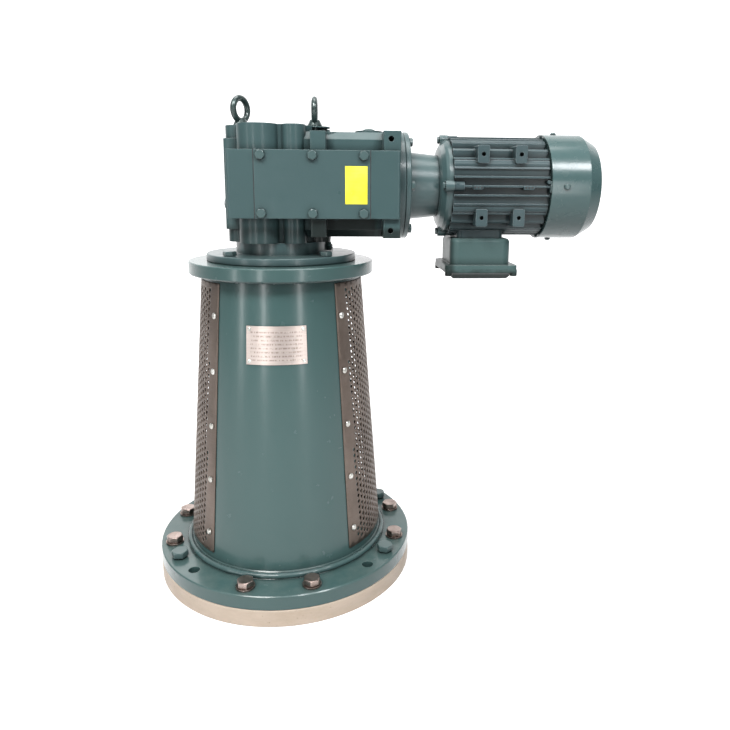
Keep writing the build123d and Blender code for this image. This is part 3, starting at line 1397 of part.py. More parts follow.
# ---------------------------------------------------------------- rotor
fan_seat = 9
with BuildPart() as rotor_shaft:
    add(gear(Plane(origin=(gear_start, 0, motor_axis), x_dir=(0, 1, 0), z_dir=(1, 0, 0)),
             input_module, input_pinion_teeth, input_face, pi, 0).part)
    add(turned([(0, gear_start), (8, gear_start), (8, adapter_start - 1),
                (motor_shaft_radius, adapter_start - 1), (motor_shaft_radius, shield_start),
                (lay_seat, shield_start), (lay_seat, drive_end_at[0] + width),
                (rotor_bore, drive_end_at[0] + width), (rotor_bore, fan_end_at[0]),
                (BEARING_20[0] - run_gap, fan_end_at[0]),
                (BEARING_20[0] - run_gap, fan_end_at[0] + BEARING_20[2]),
                (fan_seat, fan_end_at[0] + BEARING_20[2]),
                (fan_seat, fan_end_at[0] + BEARING_20[2] + 30),
                (0, fan_end_at[0] + BEARING_20[2] + 30)], (0, 0, motor_axis), "X").part)
save(rotor_shaft, "rotor_shaft")

with BuildPart() as rotor_core:
    with BuildSketch(cross_plane(stator_start)):
        Circle(stator_bore - air_gap)
        Circle(rotor_bore + run_gap, mode=Mode.SUBTRACT)
    extrude(amount=stator_length)
    for x, way in ((stator_start, -1), (stator_start + stator_length, 1)):
        with BuildSketch(cross_plane(x)):
            Circle(stator_bore - 3)
            Circle(stator_bore - 14, mode=Mode.SUBTRACT)
        extrude(amount=way * 9)
save(rotor_core, "rotor_core")

fan_start = fan_end_at[0] + BEARING_20[2] + 5
with BuildPart() as cooling_fan:
    with BuildSketch(cross_plane(fan_start)):
        Circle(17)
        Circle(fan_seat + run_gap, mode=Mode.SUBTRACT)
    extrude(amount=24)
    with BuildSketch(cross_plane(fan_start + 20)):
        Circle(46)
        Circle(12, mode=Mode.SUBTRACT)
    extrude(amount=3)
    with BuildSketch(cross_plane(fan_start + 2)):
        with PolarLocations((fan_radius + 15) / 2, fan_blades):
            Rectangle(fan_radius - 15, 2.5)
    extrude(amount=21)
save(cooling_fan, "cooling_fan")

with BuildPart() as motor_inner_rings:
    add(inner_ring(BEARING_25, drive_end_at, "X").part)
    add(inner_ring(BEARING_20, fan_end_at, "X").part)
save(motor_inner_rings, "motor_inner_rings")
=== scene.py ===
import json
import math
import bpy
from mathutils import Matrix, Vector


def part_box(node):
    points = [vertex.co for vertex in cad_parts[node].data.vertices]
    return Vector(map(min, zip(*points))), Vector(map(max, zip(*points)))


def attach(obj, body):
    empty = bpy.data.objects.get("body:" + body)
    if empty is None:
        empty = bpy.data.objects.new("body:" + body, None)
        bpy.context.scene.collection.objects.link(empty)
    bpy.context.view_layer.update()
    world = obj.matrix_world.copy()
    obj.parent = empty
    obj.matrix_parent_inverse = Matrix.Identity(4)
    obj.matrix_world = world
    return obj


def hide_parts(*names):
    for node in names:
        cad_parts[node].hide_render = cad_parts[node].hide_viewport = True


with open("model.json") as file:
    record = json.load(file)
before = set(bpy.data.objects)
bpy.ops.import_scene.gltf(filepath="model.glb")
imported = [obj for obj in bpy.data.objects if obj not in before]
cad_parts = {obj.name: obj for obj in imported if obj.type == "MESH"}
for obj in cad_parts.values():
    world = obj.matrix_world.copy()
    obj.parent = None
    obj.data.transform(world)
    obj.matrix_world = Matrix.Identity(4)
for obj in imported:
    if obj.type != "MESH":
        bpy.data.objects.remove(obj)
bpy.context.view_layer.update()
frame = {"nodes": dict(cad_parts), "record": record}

NODES = frame["nodes"]
MM = 0.001


# ---------------------------------------------------------------- mesh helpers
def make_object(name, verts, faces, material, body="base", smooth=True, angle=32):
    """Mesh piece in the row frame that rides on a body."""
    mesh = bpy.data.meshes.new(name)
    mesh.from_pydata([tuple(v) for v in verts], [], faces)
    mesh.validate()
    obj = bpy.data.objects.new(name, mesh)
    bpy.context.scene.collection.objects.link(obj)
    mesh.materials.append(material)
    if smooth:
        mesh.shade_smooth()
        mesh.set_sharp_from_angle(angle=math.radians(angle))
    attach(obj, body)
    return obj


def lathe(profile, segments, at=(0, 0, 0), axis=(0, 0, 1)):
    """Rings of a turned profile of (radius, height) along an axis."""
    turn = Vector((0, 0, 1)).rotation_difference(Vector(axis)).to_matrix()
    verts = []
    faces = []
    for r, z in profile:
        for s in range(segments):
            a = 2 * math.pi * s / segments
            verts.append(Vector(at) + turn @ Vector((r * math.cos(a), r * math.sin(a), z)))
    for k in range(len(profile) - 1):
        for s in range(segments):
            n = (s + 1) % segments
            faces.append((k * segments + s, k * segments + n, (k + 1) * segments + n,
                          (k + 1) * segments + s))
    return verts, faces


def gather(parts):
    """One vertex and face list from several."""
    verts, faces = [], []
    for v, f in parts:
        base = len(verts)
        verts.extend(v)
        faces.extend([tuple(i + base for i in face) for face in f])
    return verts, faces


def islands(node):
    """Lowest and highest corners of each separate solid of a CAD node."""
    mesh = NODES[node].data
    place = {}
    parent = list(range(len(mesh.vertices)))

    def find(i):
        while parent[i] != i:
            parent[i] = parent[parent[i]]
            i = parent[i]
        return i

    for v in mesh.vertices:
        key = tuple(round(c * 1e5) for c in v.co)
        if key in place:
            parent[find(v.index)] = find(place[key])
        else:
            place[key] = v.index
    for e in mesh.edges:
        a, b = find(e.vertices[0]), find(e.vertices[1])
        if a != b:
            parent[a] = b
    groups = {}
    for v in mesh.vertices:
        groups.setdefault(find(v.index), []).append(v.co)
    found = []
    for cos in groups.values():
        lo = Vector([min(c[i] for c in cos) for i in range(3)])
        hi = Vector([max(c[i] for c in cos) for i in range(3)])
        found.append((lo, hi))
    return sorted(found, key=lambda b: tuple(round(c, 5) for c in b[0]))


# ---------------------------------------------------------------- material helpers
def lin(r, g, b):
    """Display colour in 0-255 to linear."""
    out = []
    for c in (r, g, b):
        c = c / 255
        out.append(c / 12.92 if c <= 0.04045 else ((c + 0.055) / 1.055) ** 2.4)
    return (*out, 1)


class Surface:
    """A principled surface with small helpers for its procedural nodes."""

    def __init__(self, name, metallic=0.0, coat=0.0, coat_rough=0.1, ior=1.5):
        self.mat = bpy.data.materials.new(name)
        self.mat.use_nodes = True
        self.tree = self.mat.node_tree
        self.tree.nodes.clear()
        out = self.new("ShaderNodeOutputMaterial")
        self.bsdf = self.new("ShaderNodeBsdfPrincipled")
        self.tree.links.new(self.bsdf.outputs[0], out.inputs[0])
        self.bsdf.inputs["Metallic"].default_value = metallic
        self.bsdf.inputs["Coat Weight"].default_value = coat
        self.bsdf.inputs["Coat Roughness"].default_value = coat_rough
        self.bsdf.inputs["IOR"].default_value = ior
        self.coord = self.new("ShaderNodeTexCoord").outputs["Object"]
        self.geometry = self.new("ShaderNodeNewGeometry")

    def new(self, kind, **values):
        node = self.tree.nodes.new(kind)
        for key, value in values.items():
            setattr(node, key, value)
        return node

    def link(self, a, b):
        self.tree.links.new(a, b)

    def set(self, socket, value):
        if isinstance(value, (int, float, tuple)):
            socket.default_value = value
        else:
            self.link(value, socket)

    def noise(self, scale, detail=4.0, rough=0.55, stretch=(1, 1, 1), distortion=0.0):
        mapping = self.new("ShaderNodeMapping")
        mapping.inputs["Scale"].default_value = stretch
        self.link(self.coord, mapping.inputs["Vector"])
        node = self.new("ShaderNodeTexNoise")
        node.inputs["Scale"].default_value = scale
        node.inputs["Detail"].default_value = detail
        node.inputs["Roughness"].default_value = rough
        node.inputs["Distortion"].default_value = distortion
        self.link(mapping.outputs[0], node.inputs["Vector"])
        return node.outputs["Fac"]

    def cells(self, scale, stretch=(1, 1, 1)):
        mapping = self.new("ShaderNodeMapping")
        mapping.inputs["Scale"].default_value = stretch
        self.link(self.coord, mapping.inputs["Vector"])
        node = self.new("ShaderNodeTexVoronoi")
        node.inputs["Scale"].default_value = scale
        self.link(mapping.outputs[0], node.inputs["Vector"])
        return node.outputs["Distance"]

    def ramp(self, fac, low, high, a=0.0, b=1.0):
        node = self.new("ShaderNodeMapRange")
        node.inputs["From Min"].default_value = low
        node.inputs["From Max"].default_value = high
        node.inputs["To Min"].default_value = a
        node.inputs["To Max"].default_value = b
        self.link(fac, node.inputs["Value"])
        return node.outputs["Result"]

    def math(self, kind, a, b=0.0):
        node = self.new("ShaderNodeMath", operation=kind)
        self.set(node.inputs[0], a)
        self.set(node.inputs[1], b)
        return node.outputs[0]

    def mix(self, fac, a, b):
        node = self.new("ShaderNodeMix", data_type="RGBA")
        self.set(node.inputs["Factor"], fac)
        self.set(node.inputs[6], a)
        self.set(node.inputs[7], b)
        return node.outputs[2]

    def edge(self, radius, low=0.10, high=0.30, samples=6):
        """Rounded normal and a mask of the convex and concave edges within a radius."""
        bevel = self.new("ShaderNodeBevel", samples=samples)
        bevel.inputs["Radius"].default_value = radius
        dot = self.new("ShaderNodeVectorMath", operation="DOT_PRODUCT")
        self.link(bevel.outputs[0], dot.inputs[0])
        self.link(self.geometry.outputs["Normal"], dot.inputs[1])
        mask = self.ramp(self.math("SUBTRACT", 1.0, dot.outputs["Value"]), low, high)
        return bevel.outputs[0], mask

    def hollow(self, distance):
        """Mask of creases and corners, where dirt gathers and shade falls; it paints both."""
        node = self.new("ShaderNodeAmbientOcclusion", samples=4)
        node.inputs["Distance"].default_value = distance
        return self.ramp(node.outputs["AO"], 0.35, 0.95, 1.0, 0.0)

    def facing_up(self, low=0.3, high=0.95):
        """Mask of surfaces that face up, where dust lies."""
        split = self.new("ShaderNodeSeparateXYZ")
        self.link(self.geometry.outputs["Normal"], split.inputs[0])
        return self.ramp(split.outputs["Z"], low, high)

    def finish(self, colour, rough, heights=(), normal=None):
        self.set(self.bsdf.inputs["Base Color"], colour)
        self.set(self.bsdf.inputs["Roughness"], rough)
        for height, depth in heights:
            bump = self.new("ShaderNodeBump")
            bump.inputs["Strength"].default_value = 1.0
            bump.inputs["Distance"].default_value = depth
            self.link(height, bump.inputs["Height"])
            if normal is not None:
                self.link(normal, bump.inputs["Normal"])
            normal = bump.outputs[0]
        if normal is not None:
            self.link(normal, self.bsdf.inputs["Normal"])
        return self.mat


def machine_paint(name, base, light, dark, cast=0.00010, round_edge=0.0020, coat=0.22,
                  dust_share=0.10, rough=(0.27, 0.36), inside=None, painted_shade=(), gloss=0.5, crease=0.014,
                  wear_and_highlight=(0.34, 0.58), core=None):
    """Gloss machine paint on a casting: orange peel, dust, worn edges that are partly a painted
    highlight, and creases darkened as dirt and painted shade.

    inside: radii and heights of a cone on the Z axis; what lies within it is painted dark as the
    shade inside the lantern.
    painted_shade: entries of (x0, x1, z, share); from x0 to x1 the paint is darkened below height z,
    a painted shade.
    core: (height of a level axis, radius, radius where it ends); darkened round that axis, a painted
    shade in the gaps between the fins.
    The painted_shade entries and core stand in for shade that the photo shows and this form in this
    light lacks.
    """
    s = Surface(name, coat=coat, coat_rough=0.12, ior=1.40)
    s.bsdf.inputs["Coat IOR"].default_value = 1.32
    s.bsdf.inputs["Specular IOR Level"].default_value = gloss
    normal, edges = s.edge(round_edge)
    tone = s.ramp(s.noise(3.5, 3, 0.5), 0.3, 0.7)
    colour = s.mix(s.math("MULTIPLY", tone, 0.35), base, dark)
    dust = s.math("MULTIPLY", s.facing_up(), s.ramp(s.noise(35, 6, 0.65), 0.35, 0.75))
    colour = s.mix(s.math("MULTIPLY", dust, dust_share), colour, lin(150, 152, 144))
    # wear and painted highlight: edges are lightened toward the light colour; a wide range makes it a
    # painted highlight
    worn_and_highlight = s.math("MULTIPLY", edges, s.ramp(s.noise(60, 5, 0.7), *wear_and_highlight))
    colour = s.mix(s.math("MULTIPLY", worn_and_highlight, 0.75), colour, light)
    chips = s.math("MULTIPLY", s.ramp(edges, 0.5, 0.8), s.ramp(s.noise(210, 3, 0.7), 0.64, 0.70))
    colour = s.mix(s.math("MULTIPLY", chips, 0.7), colour, lin(168, 172, 168))
    # dirt and painted shade: creases and corners are darkened
    crease_dirt_and_shade = s.math("MULTIPLY", s.hollow(crease), 0.85)
    colour = s.mix(crease_dirt_and_shade, colour, (dark[0] * 0.26, dark[1] * 0.24, dark[2] * 0.23, 1))
    split = s.new("ShaderNodeSeparateXYZ")
    s.link(s.coord, split.inputs[0])
    # painted shade: nearly black round the motor's axis, in the gaps between its fins
    if core is not None:
        height = s.math("SUBTRACT", split.outputs["Z"], core[0])
        reach = s.math("SQRT", s.math("ADD", s.math("POWER", split.outputs["Y"], 2.0),
                                      s.math("POWER", s.math("ABSOLUTE", height), 2.0)))
        colour = s.mix(s.ramp(reach, core[1], core[2], 0.93, 0.0), colour, lin(13, 16, 17))
    # painted shade: between x0 and x1 the paint is darkened below height z, where shade falls
    for x0, x1, z, share in painted_shade:
        wander = s.math("ADD", split.outputs["Z"], s.ramp(s.noise(40, 4), 0.3, 0.7, -0.003, 0.003))
        low = s.ramp(wander, z - 0.006, z + 0.002, share, 0.0)
        across = s.math("MULTIPLY", s.ramp(split.outputs["X"], x0 - 0.004, x0 + 0.004),
                        s.ramp(split.outputs["X"], x1 - 0.004, x1 + 0.004, 1.0, 0.0))
        colour = s.mix(s.math("MULTIPLY", low, across), colour, lin(24, 28, 26))
    # painted shade: the lantern's inner faces are darkened
    if inside is not None:
        (r0, z0), (r1, z1) = inside
        reach = s.math("SQRT", s.math("ADD", s.math("POWER", split.outputs["X"], 2.0),
                                      s.math("POWER", split.outputs["Y"], 2.0)))
        wall = s.ramp(split.outputs["Z"], z0, z1, r0, r1)
        within = s.ramp(s.math("SUBTRACT", wall, reach), 0.0, 0.0008)
        above = s.ramp(split.outputs["Z"], z0, z0 + 0.001)
        below = s.ramp(split.outputs["Z"], z1 - 0.001, z1, 1.0, 0.0)
        hidden = s.math("MULTIPLY", within, s.math("MULTIPLY", above, below))
        colour = s.mix(hidden, colour, lin(38, 30, 27))
    return s.finish(colour, s.ramp(s.noise(45, 4), 0.25, 0.75, *rough),
                    [(s.noise(260, 3), cast), (s.noise(28, 2), 0.0002)], normal)


def bare_metal(name, base, dark, rough=(0.22, 0.42), brush=(1, 1, 60), scale=40, edge=0.0006,
               depth=0.00003):
    """Worn bare metal with brush marks along one direction."""
    s = Surface(name, metallic=1.0)
    normal, edges = s.edge(edge)
    tone = s.ramp(s.noise(70, 5, 0.6), 0.3, 0.72)
    colour = s.mix(tone, dark, base)
    # dirt and painted shade: hollows are darkened
    colour = s.mix(s.math("MULTIPLY", s.hollow(0.006), 0.7), colour,
                   (dark[0] * 0.35, dark[1] * 0.33, dark[2] * 0.3, 1))
    colour = s.mix(s.math("MULTIPLY", edges, 0.4), colour, (0.85, 0.84, 0.82, 1))
    marks = s.noise(scale, 3, 0.6, brush)
    return s.finish(colour, s.ramp(marks, 0.3, 0.7, rough[0], rough[1]), [(marks, depth)], normal)


def moulded(name, base, light, rough=(0.4, 0.6), grain=900, depth=0.00004, edge=0.0008):
    """Moulded plastic or rubber with a fine grain and scuffed edges."""
    s = Surface(name)
    normal, edges = s.edge(edge)
    colour = s.mix(s.ramp(s.noise(25, 5, 0.6), 0.3, 0.75), base, light)
    colour = s.mix(s.math("MULTIPLY", edges, 0.35), colour,
                   tuple(min(1, c * 1.8) for c in light[:3]) + (1,))
    marks = s.ramp(s.noise(60, 3), 0.3, 0.7, rough[0], rough[1])
    return s.finish(colour, marks, [(s.cells(grain), depth)], normal)


def middle_z(node):
    lo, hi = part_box(node)
    return (lo.z + hi.z) / 2


# a few millimetres behind the outer face of the lantern's shell, foot and top; within it the paint is
# darkened as painted shade
LANTERN_INSIDE = ((164 * MM, 52 * MM), (129 * MM, 518 * MM))
MOTOR_AXIS = middle_z("fan_cover")
# painted shade: the motor's paint is darkened round its axis, between the fins
FIN_GAPS = (MOTOR_AXIS, 70 * MM, 79.5 * MM)
# painted shade: below these heights the paint is darkened under the cover, block and lobes, on the
# box flank and round the lid pan
UNDER_COVER = (52 * MM, 157 * MM, 621 * MM, 0.9)
UNDER_BLOCK = (157 * MM, 250 * MM, 604 * MM, 0.8)
UNDER_LOBES = (-90 * MM, 52 * MM, 606 * MM, 0.45)
BOX_FLANK = (250 * MM, 286.5 * MM, 600 * MM, 0.72)
LID_PAN = (250 * MM, 420 * MM, 532.5 * MM, 0.8)

GREEN = machine_paint("paint_green", lin(64, 85, 86), lin(124, 142, 141), lin(50, 69, 71))
GREEN_HOUSING = machine_paint("paint_green_housing", lin(63, 84, 85), lin(124, 142, 141),
                              lin(50, 69, 71), painted_shade=(UNDER_COVER, UNDER_BLOCK, UNDER_LOBES),
                              gloss=0.3, coat=0.12)
# painted highlight on the fin tips from the wide wear range and bright light colour; painted shade in
# the fin gaps from the long crease reach and core
GREEN_BODY = machine_paint("paint_green_motor", lin(60, 77, 80), lin(156, 168, 172),
                           lin(46, 61, 64), crease=0.030, wear_and_highlight=(0.20, 0.42), round_edge=0.0016,
                           gloss=0.3, coat=0.05, core=FIN_GAPS)
# painted highlight on the box and lid edges from the wide wear range; painted shade on the box flank
# and round the lid pan
GREEN_BOX = machine_paint("paint_green_box", lin(70, 91, 90), lin(150, 164, 162),
                          lin(56, 74, 74), gloss=0.15, coat=0.0, wear_and_highlight=(0.20, 0.42),
                          painted_shade=(BOX_FLANK, LID_PAN))
GREEN_SHEET = machine_paint("paint_green_sheet", lin(60, 84, 84), lin(112, 134, 132),
                            lin(53, 75, 75), cast=0.00003, round_edge=0.0014, coat=0.35,
                            rough=(0.22, 0.30))
GREEN_LANTERN = machine_paint("paint_green_lantern", lin(60, 85, 84), lin(106, 128, 126),
                              lin(53, 76, 75), cast=0.00003, round_edge=0.0014, coat=0.35,
                              rough=(0.22, 0.28), inside=LANTERN_INSIDE)
GREEN_BOLT = machine_paint("paint_green_bolts", lin(70, 90, 90), lin(136, 152, 150),
                           lin(52, 71, 72), cast=0.00004, round_edge=0.0007)
STAINLESS = bare_metal("stainless", lin(178, 162, 155), lin(124, 108, 101))
ZINC = bare_metal("zinc_screws", lin(214, 214, 210), lin(160, 158, 150))
STEEL = bare_metal("bright_steel", lin(196, 199, 202), lin(150, 153, 158), brush=(60, 60, 1))
BEARING = bare_metal("bearing_steel", lin(210, 212, 215), lin(170, 172, 176), (0.1, 0.22))
LAMINATION = bare_metal("lamination", lin(132, 136, 142), lin(90, 93, 98), (0.35, 0.55),
                        (400, 1, 1), 5)
COPPER = bare_metal("copper_windings", lin(190, 112, 66), lin(120, 62, 34), (0.25, 0.45),
                    (6, 1, 1), 160, depth=0.0004)
BRASS = bare_metal("brass_studs", lin(206, 176, 96), lin(150, 120, 60))
IRON = bare_metal("grey_iron", lin(118, 122, 124), lin(74, 78, 80), (0.4, 0.62), (1, 1, 1), 300,
                  depth=0.0001)
RUBBER = moulded("rubber_black", lin(26, 26, 27), lin(44, 44, 45))
FAN_PLASTIC = moulded("fan_plastic", lin(30, 31, 33), lin(48, 49, 51))
BLOCK = moulded("terminal_plastic", lin(96, 42, 26), lin(124, 58, 36))


def cream_plate():
    """Cream primer on the tank plate, stained along the joint under the flange, its edges painted
    light as a highlight.
    """
    s = Surface("plate_cream", coat=0.08, coat_rough=0.4)
    normal, edges = s.edge(0.0012)
    stain = s.ramp(s.noise(14, 6, 0.68, (1, 1, 2.5)), 0.42, 0.72)
    colour = s.mix(s.math("MULTIPLY", stain, 0.55), lin(186, 170, 154), lin(156, 140, 120))
    spots = s.ramp(s.noise(180, 2), 0.66, 0.74)
    colour = s.mix(s.math("MULTIPLY", spots, 0.5), colour, lin(120, 108, 88))
    # painted highlight: the plate's edges are lightened nearly to white
    colour = s.mix(s.math("MULTIPLY", edges, 0.9), colour, lin(240, 232, 222))
    return s.finish(colour, s.ramp(s.noise(50), 0.3, 0.7, 0.42, 0.62),
                    [(s.noise(220, 3), 0.0001)], normal)


def guard_sheet():
    """Perforated steel sheet with a dull brown-grey oxide and brighter hole edges."""
    s = Surface("guard_sheet", metallic=0.75)
    normal, edges = s.edge(0.0004)
    tone = s.ramp(s.noise(16, 6, 0.65, (1, 1, 0.6)), 0.3, 0.72)
    colour = s.mix(tone, lin(84, 74, 67), lin(116, 104, 96))
    colour = s.mix(s.math("MULTIPLY", edges, 0.7), colour, lin(172, 160, 150))
    marks = s.noise(40, 4, 0.6, (1, 1, 30))
    return s.finish(colour, s.ramp(marks, 0.3, 0.7, 0.38, 0.58), [(marks, 0.00003)], normal)


def guard_inner_shade():
    """Inner face of the guards, painted dark as the shade inside the lantern."""
    s = Surface("guard_inner_shade", metallic=0.3)
    colour = s.mix(s.ramp(s.noise(30, 5, 0.6), 0.3, 0.7), lin(34, 27, 24), lin(52, 43, 38))
    return s.finish(colour, s.ramp(s.noise(60), 0.3, 0.7, 0.6, 0.75), [(s.noise(200, 3), 0.00005)])


def print_rows(s, node, pitch, top, side, stroke=0.42):
    """Mask of rows of small meaningless marks on a plate, inside its margins."""
    lo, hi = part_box(node)
    split = s.new("ShaderNodeSeparateXYZ")
    s.link(s.coord, split.inputs[0])
    row = s.math("FRACT", s.math("DIVIDE", s.math("SUBTRACT", hi.z, split.outputs["Z"]), pitch))
    line = s.math("MULTIPLY", s.ramp(row, 0.30, 0.36), s.ramp(row, 0.30 + stroke, 0.36 + stroke,
                                                            1.0, 0.0))
    marks = s.ramp(s.noise(900, 2, 0.5, (1, 1, 0.12)), 0.46, 0.54)
    within = s.math("MULTIPLY", s.ramp(split.outputs["Z"], lo.z + top, lo.z + top + 0.0003),
                    s.ramp(split.outputs["Z"], hi.z - top - 0.0003, hi.z - top, 1.0, 0.0))
    across = s.math("MULTIPLY", s.ramp(split.outputs["X"], lo.x + side, lo.x + side + 0.0005),
                    s.ramp(split.outputs["X"], hi.x - side - 0.0005, hi.x - side, 1.0, 0.0))
    return s.math("MULTIPLY", s.math("MULTIPLY", line, marks), s.math("MULTIPLY", within, across))


def yellow_label():
    """Plain yellow sticker, a little sun-bleached and scuffed."""
    s = Surface("label_yellow", coat=0.3, coat_rough=0.25)
    fade = s.ramp(s.noise(30, 5, 0.6), 0.3, 0.75)
    colour = s.mix(fade, lin(228, 222, 34), lin(232, 226, 84))
    scuff = s.ramp(s.noise(240, 4, 0.7, (1, 1, 0.3)), 0.62, 0.72)
    colour = s.mix(s.math("MULTIPLY", scuff, 0.6), colour, lin(206, 204, 130))
    rows = print_rows(s, "cover_label", 0.0052, 0.003, 0.003, 0.3)
    colour = s.mix(s.math("MULTIPLY", rows, 0.45), colour, lin(150, 148, 40))
    return s.finish(colour, s.ramp(s.noise(80), 0.3, 0.7, 0.35, 0.55),
                    [(s.noise(60, 2), 0.00015)])


def plate_metal():
    """Bare aluminium plate with fine level brush marks and small stains."""
    s = Surface("nameplate_metal", metallic=0.85)
    marks = s.noise(30, 4, 0.6, (1, 1, 70))
    colour = s.mix(s.ramp(marks, 0.3, 0.7), lin(174, 162, 156), lin(202, 190, 183))
    rows = print_rows(s, "nameplate", 0.0062, 0.006, 0.007)
    colour = s.mix(s.math("MULTIPLY", rows, 0.6), colour, lin(112, 94, 88))
    spots = s.ramp(s.noise(90, 5, 0.7), 0.58, 0.70)
    colour = s.mix(s.math("MULTIPLY", spots, 0.35), colour, lin(140, 138, 128))
    return s.finish(colour, s.ramp(marks, 0.3, 0.7, 0.28, 0.46), [(marks, 0.00003)])


def dark_eye():
    """Dark glossy forged eye."""
    s = Surface("eye_dark", metallic=0.35, coat=0.4, coat_rough=0.12)
    colour = s.mix(s.ramp(s.noise(80, 5), 0.3, 0.7), lin(34, 46, 45), lin(60, 76, 74))
    return s.finish(colour, s.ramp(s.noise(120), 0.3, 0.7, 0.22, 0.38),
                    [(s.noise(300, 3), 0.0001)])


CREAM = cream_plate()
GUARD = guard_sheet()
GUARD_INNER_SHADE = guard_inner_shade()
YELLOW = yellow_label()
PLATE = plate_metal()
EYE = dark_eye()

FINISHES = {
    "green_paint": GREEN, "plate_cream": CREAM, "guard_sheet": GUARD, "stainless": STAINLESS,
    "zinc_screws": ZINC, "dark_eye": EYE, "plate_metal": PLATE, "label_yellow": YELLOW,
    "bright_steel": STEEL, "bearing_steel": BEARING, "rubber_black": RUBBER,
    "lamination": LAMINATION, "copper": COPPER, "fan_plastic": FAN_PLASTIC,
    "block_plastic": BLOCK, "brass_studs": BRASS, "grey_iron": IRON,
}
SPECIAL = {"gearbox_housing": GREEN_HOUSING, "motor_frame": GREEN_BODY,
           "lantern": GREEN_LANTERN, "fan_cover": GREEN_SHEET, "terminal_box": GREEN_BOX,
           "cover_bolts": GREEN_BOLT, "jack_screws": GREEN_BOLT, "input_bolts": GREEN_BOLT,
           "oil_plugs": GREEN_BOLT, "flange_bolts": GREEN_BOLT, "fan_cover_screws": GREEN_BOLT}
for part in frame["record"]["subparts"]:
    piece = NODES[part["node"]]
    finish = SPECIAL.get(part["node"], FINISHES[part["material_slot"]])
    piece.data.materials.clear()
    piece.data.materials.append(finish)


# ---------------------------------------------------------------- hexagon heads
def hex_head(at, axis, flats, height, turn=0.0, shank=0.0, shank_length=0.0):
    """Chamfered hexagon head on a washer face, standing on a point along an axis."""
    seg = 48
    half = flats / 2
    crown = half * 0.94
    slope = math.tan(math.radians(28))

    def reach(a):
        b = (a - turn) % (math.pi / 3)
        return half / math.cos(b - math.pi / 6)

    m = Vector((0, 0, 1)).rotation_difference(Vector(axis)).to_matrix()
    rings = []
    face = height * 0.07
    for kind in range(7):
        ring = []
        for s in range(seg):
            a = 2 * math.pi * s / seg
            r = reach(a)
            if kind == 0:
                r, z = shank, -shank_length
            elif kind == 1:
                r, z = shank, 0.0
            elif kind == 2:
                r, z = crown, 0.0
            elif kind == 3:
                r, z = crown, face
            elif kind == 4:
                z = face
            elif kind == 5:
                z = height - max(0.0, r - crown) * slope
            else:
                r, z = crown, height
            ring.append(Vector(at) + m @ Vector((r * math.cos(a), r * math.sin(a), z)))
        rings.append(ring)
    verts = [v for ring in rings for v in ring]
    faces = []
    for k in range(6):
        for s in range(seg):
            n = (s + 1) % seg
            faces.append((k * seg + s, k * seg + n, (k + 1) * seg + n, (k + 1) * seg + s))
    faces.append(tuple(6 * seg + s for s in range(seg)))
    faces.append(tuple(reversed([s for s in range(seg)])))
    return verts, faces


def detail_bolts(node, axis, flats, height, material, shank):
    """Detailed hexagon bolts in place of a node's plain ones."""
    axis = Vector(axis)
    parts = []
    for k, (lo, hi) in enumerate(islands(node)):
        mid = (lo + hi) / 2
        reach = Vector([hi[i] if axis[i] > 0 else lo[i] for i in range(3)])
        tip = Vector([reach[i] if axis[i] else mid[i] for i in range(3)])
        length = sum(abs(axis[i]) * (hi[i] - lo[i]) for i in range(3))
        parts.append(hex_head(tip - axis * height, axis, flats, height, 0.9 * k, shank,
                              length - height))
    verts, faces = gather(parts)
    obj = make_object(node + "_detail", verts, faces, material, angle=24)
    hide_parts(node)
    return obj


detail_bolts("base_bolts", (0, 0, 1), 24 * MM, 10 * MM, STAINLESS, 8 * MM)
detail_bolts("jack_screws", (0, 0, 1), 24 * MM, 10 * MM, GREEN_BOLT, 8 * MM)
detail_bolts("flange_bolts", (0, 0, 1), 19 * MM, 7.5 * MM, GREEN_BOLT, 6 * MM)
detail_bolts("cover_bolts", (0, -1, 0), 13 * MM, 5.3 * MM, GREEN_BOLT, 4 * MM)
detail_bolts("input_bolts", (1, 0, 0), 13 * MM, 5.3 * MM, GREEN_BOLT, 4 * MM)
detail_bolts("shield_bolts", (-1, 0, 0), 10 * MM, 4 * MM, GREEN_BOLT, 3 * MM)


# ---------------------------------------------------------------- perforated guards
def clip(polygon, depth):
    """The part of a flat polygon where depth(point), linear over it, is not negative."""
    kept = []
    for k, p in enumerate(polygon):
        q = polygon[(k + 1) % len(polygon)]
        dp, dq = depth(p), depth(q)
        if dp >= 0:
            kept.append(p)
        if dp * dq < 0:
            t = dp / (dp - dq)
            kept.append((p[0] + (q[0] - p[0]) * t, p[1] + (q[1] - p[1]) * t))
    return kept


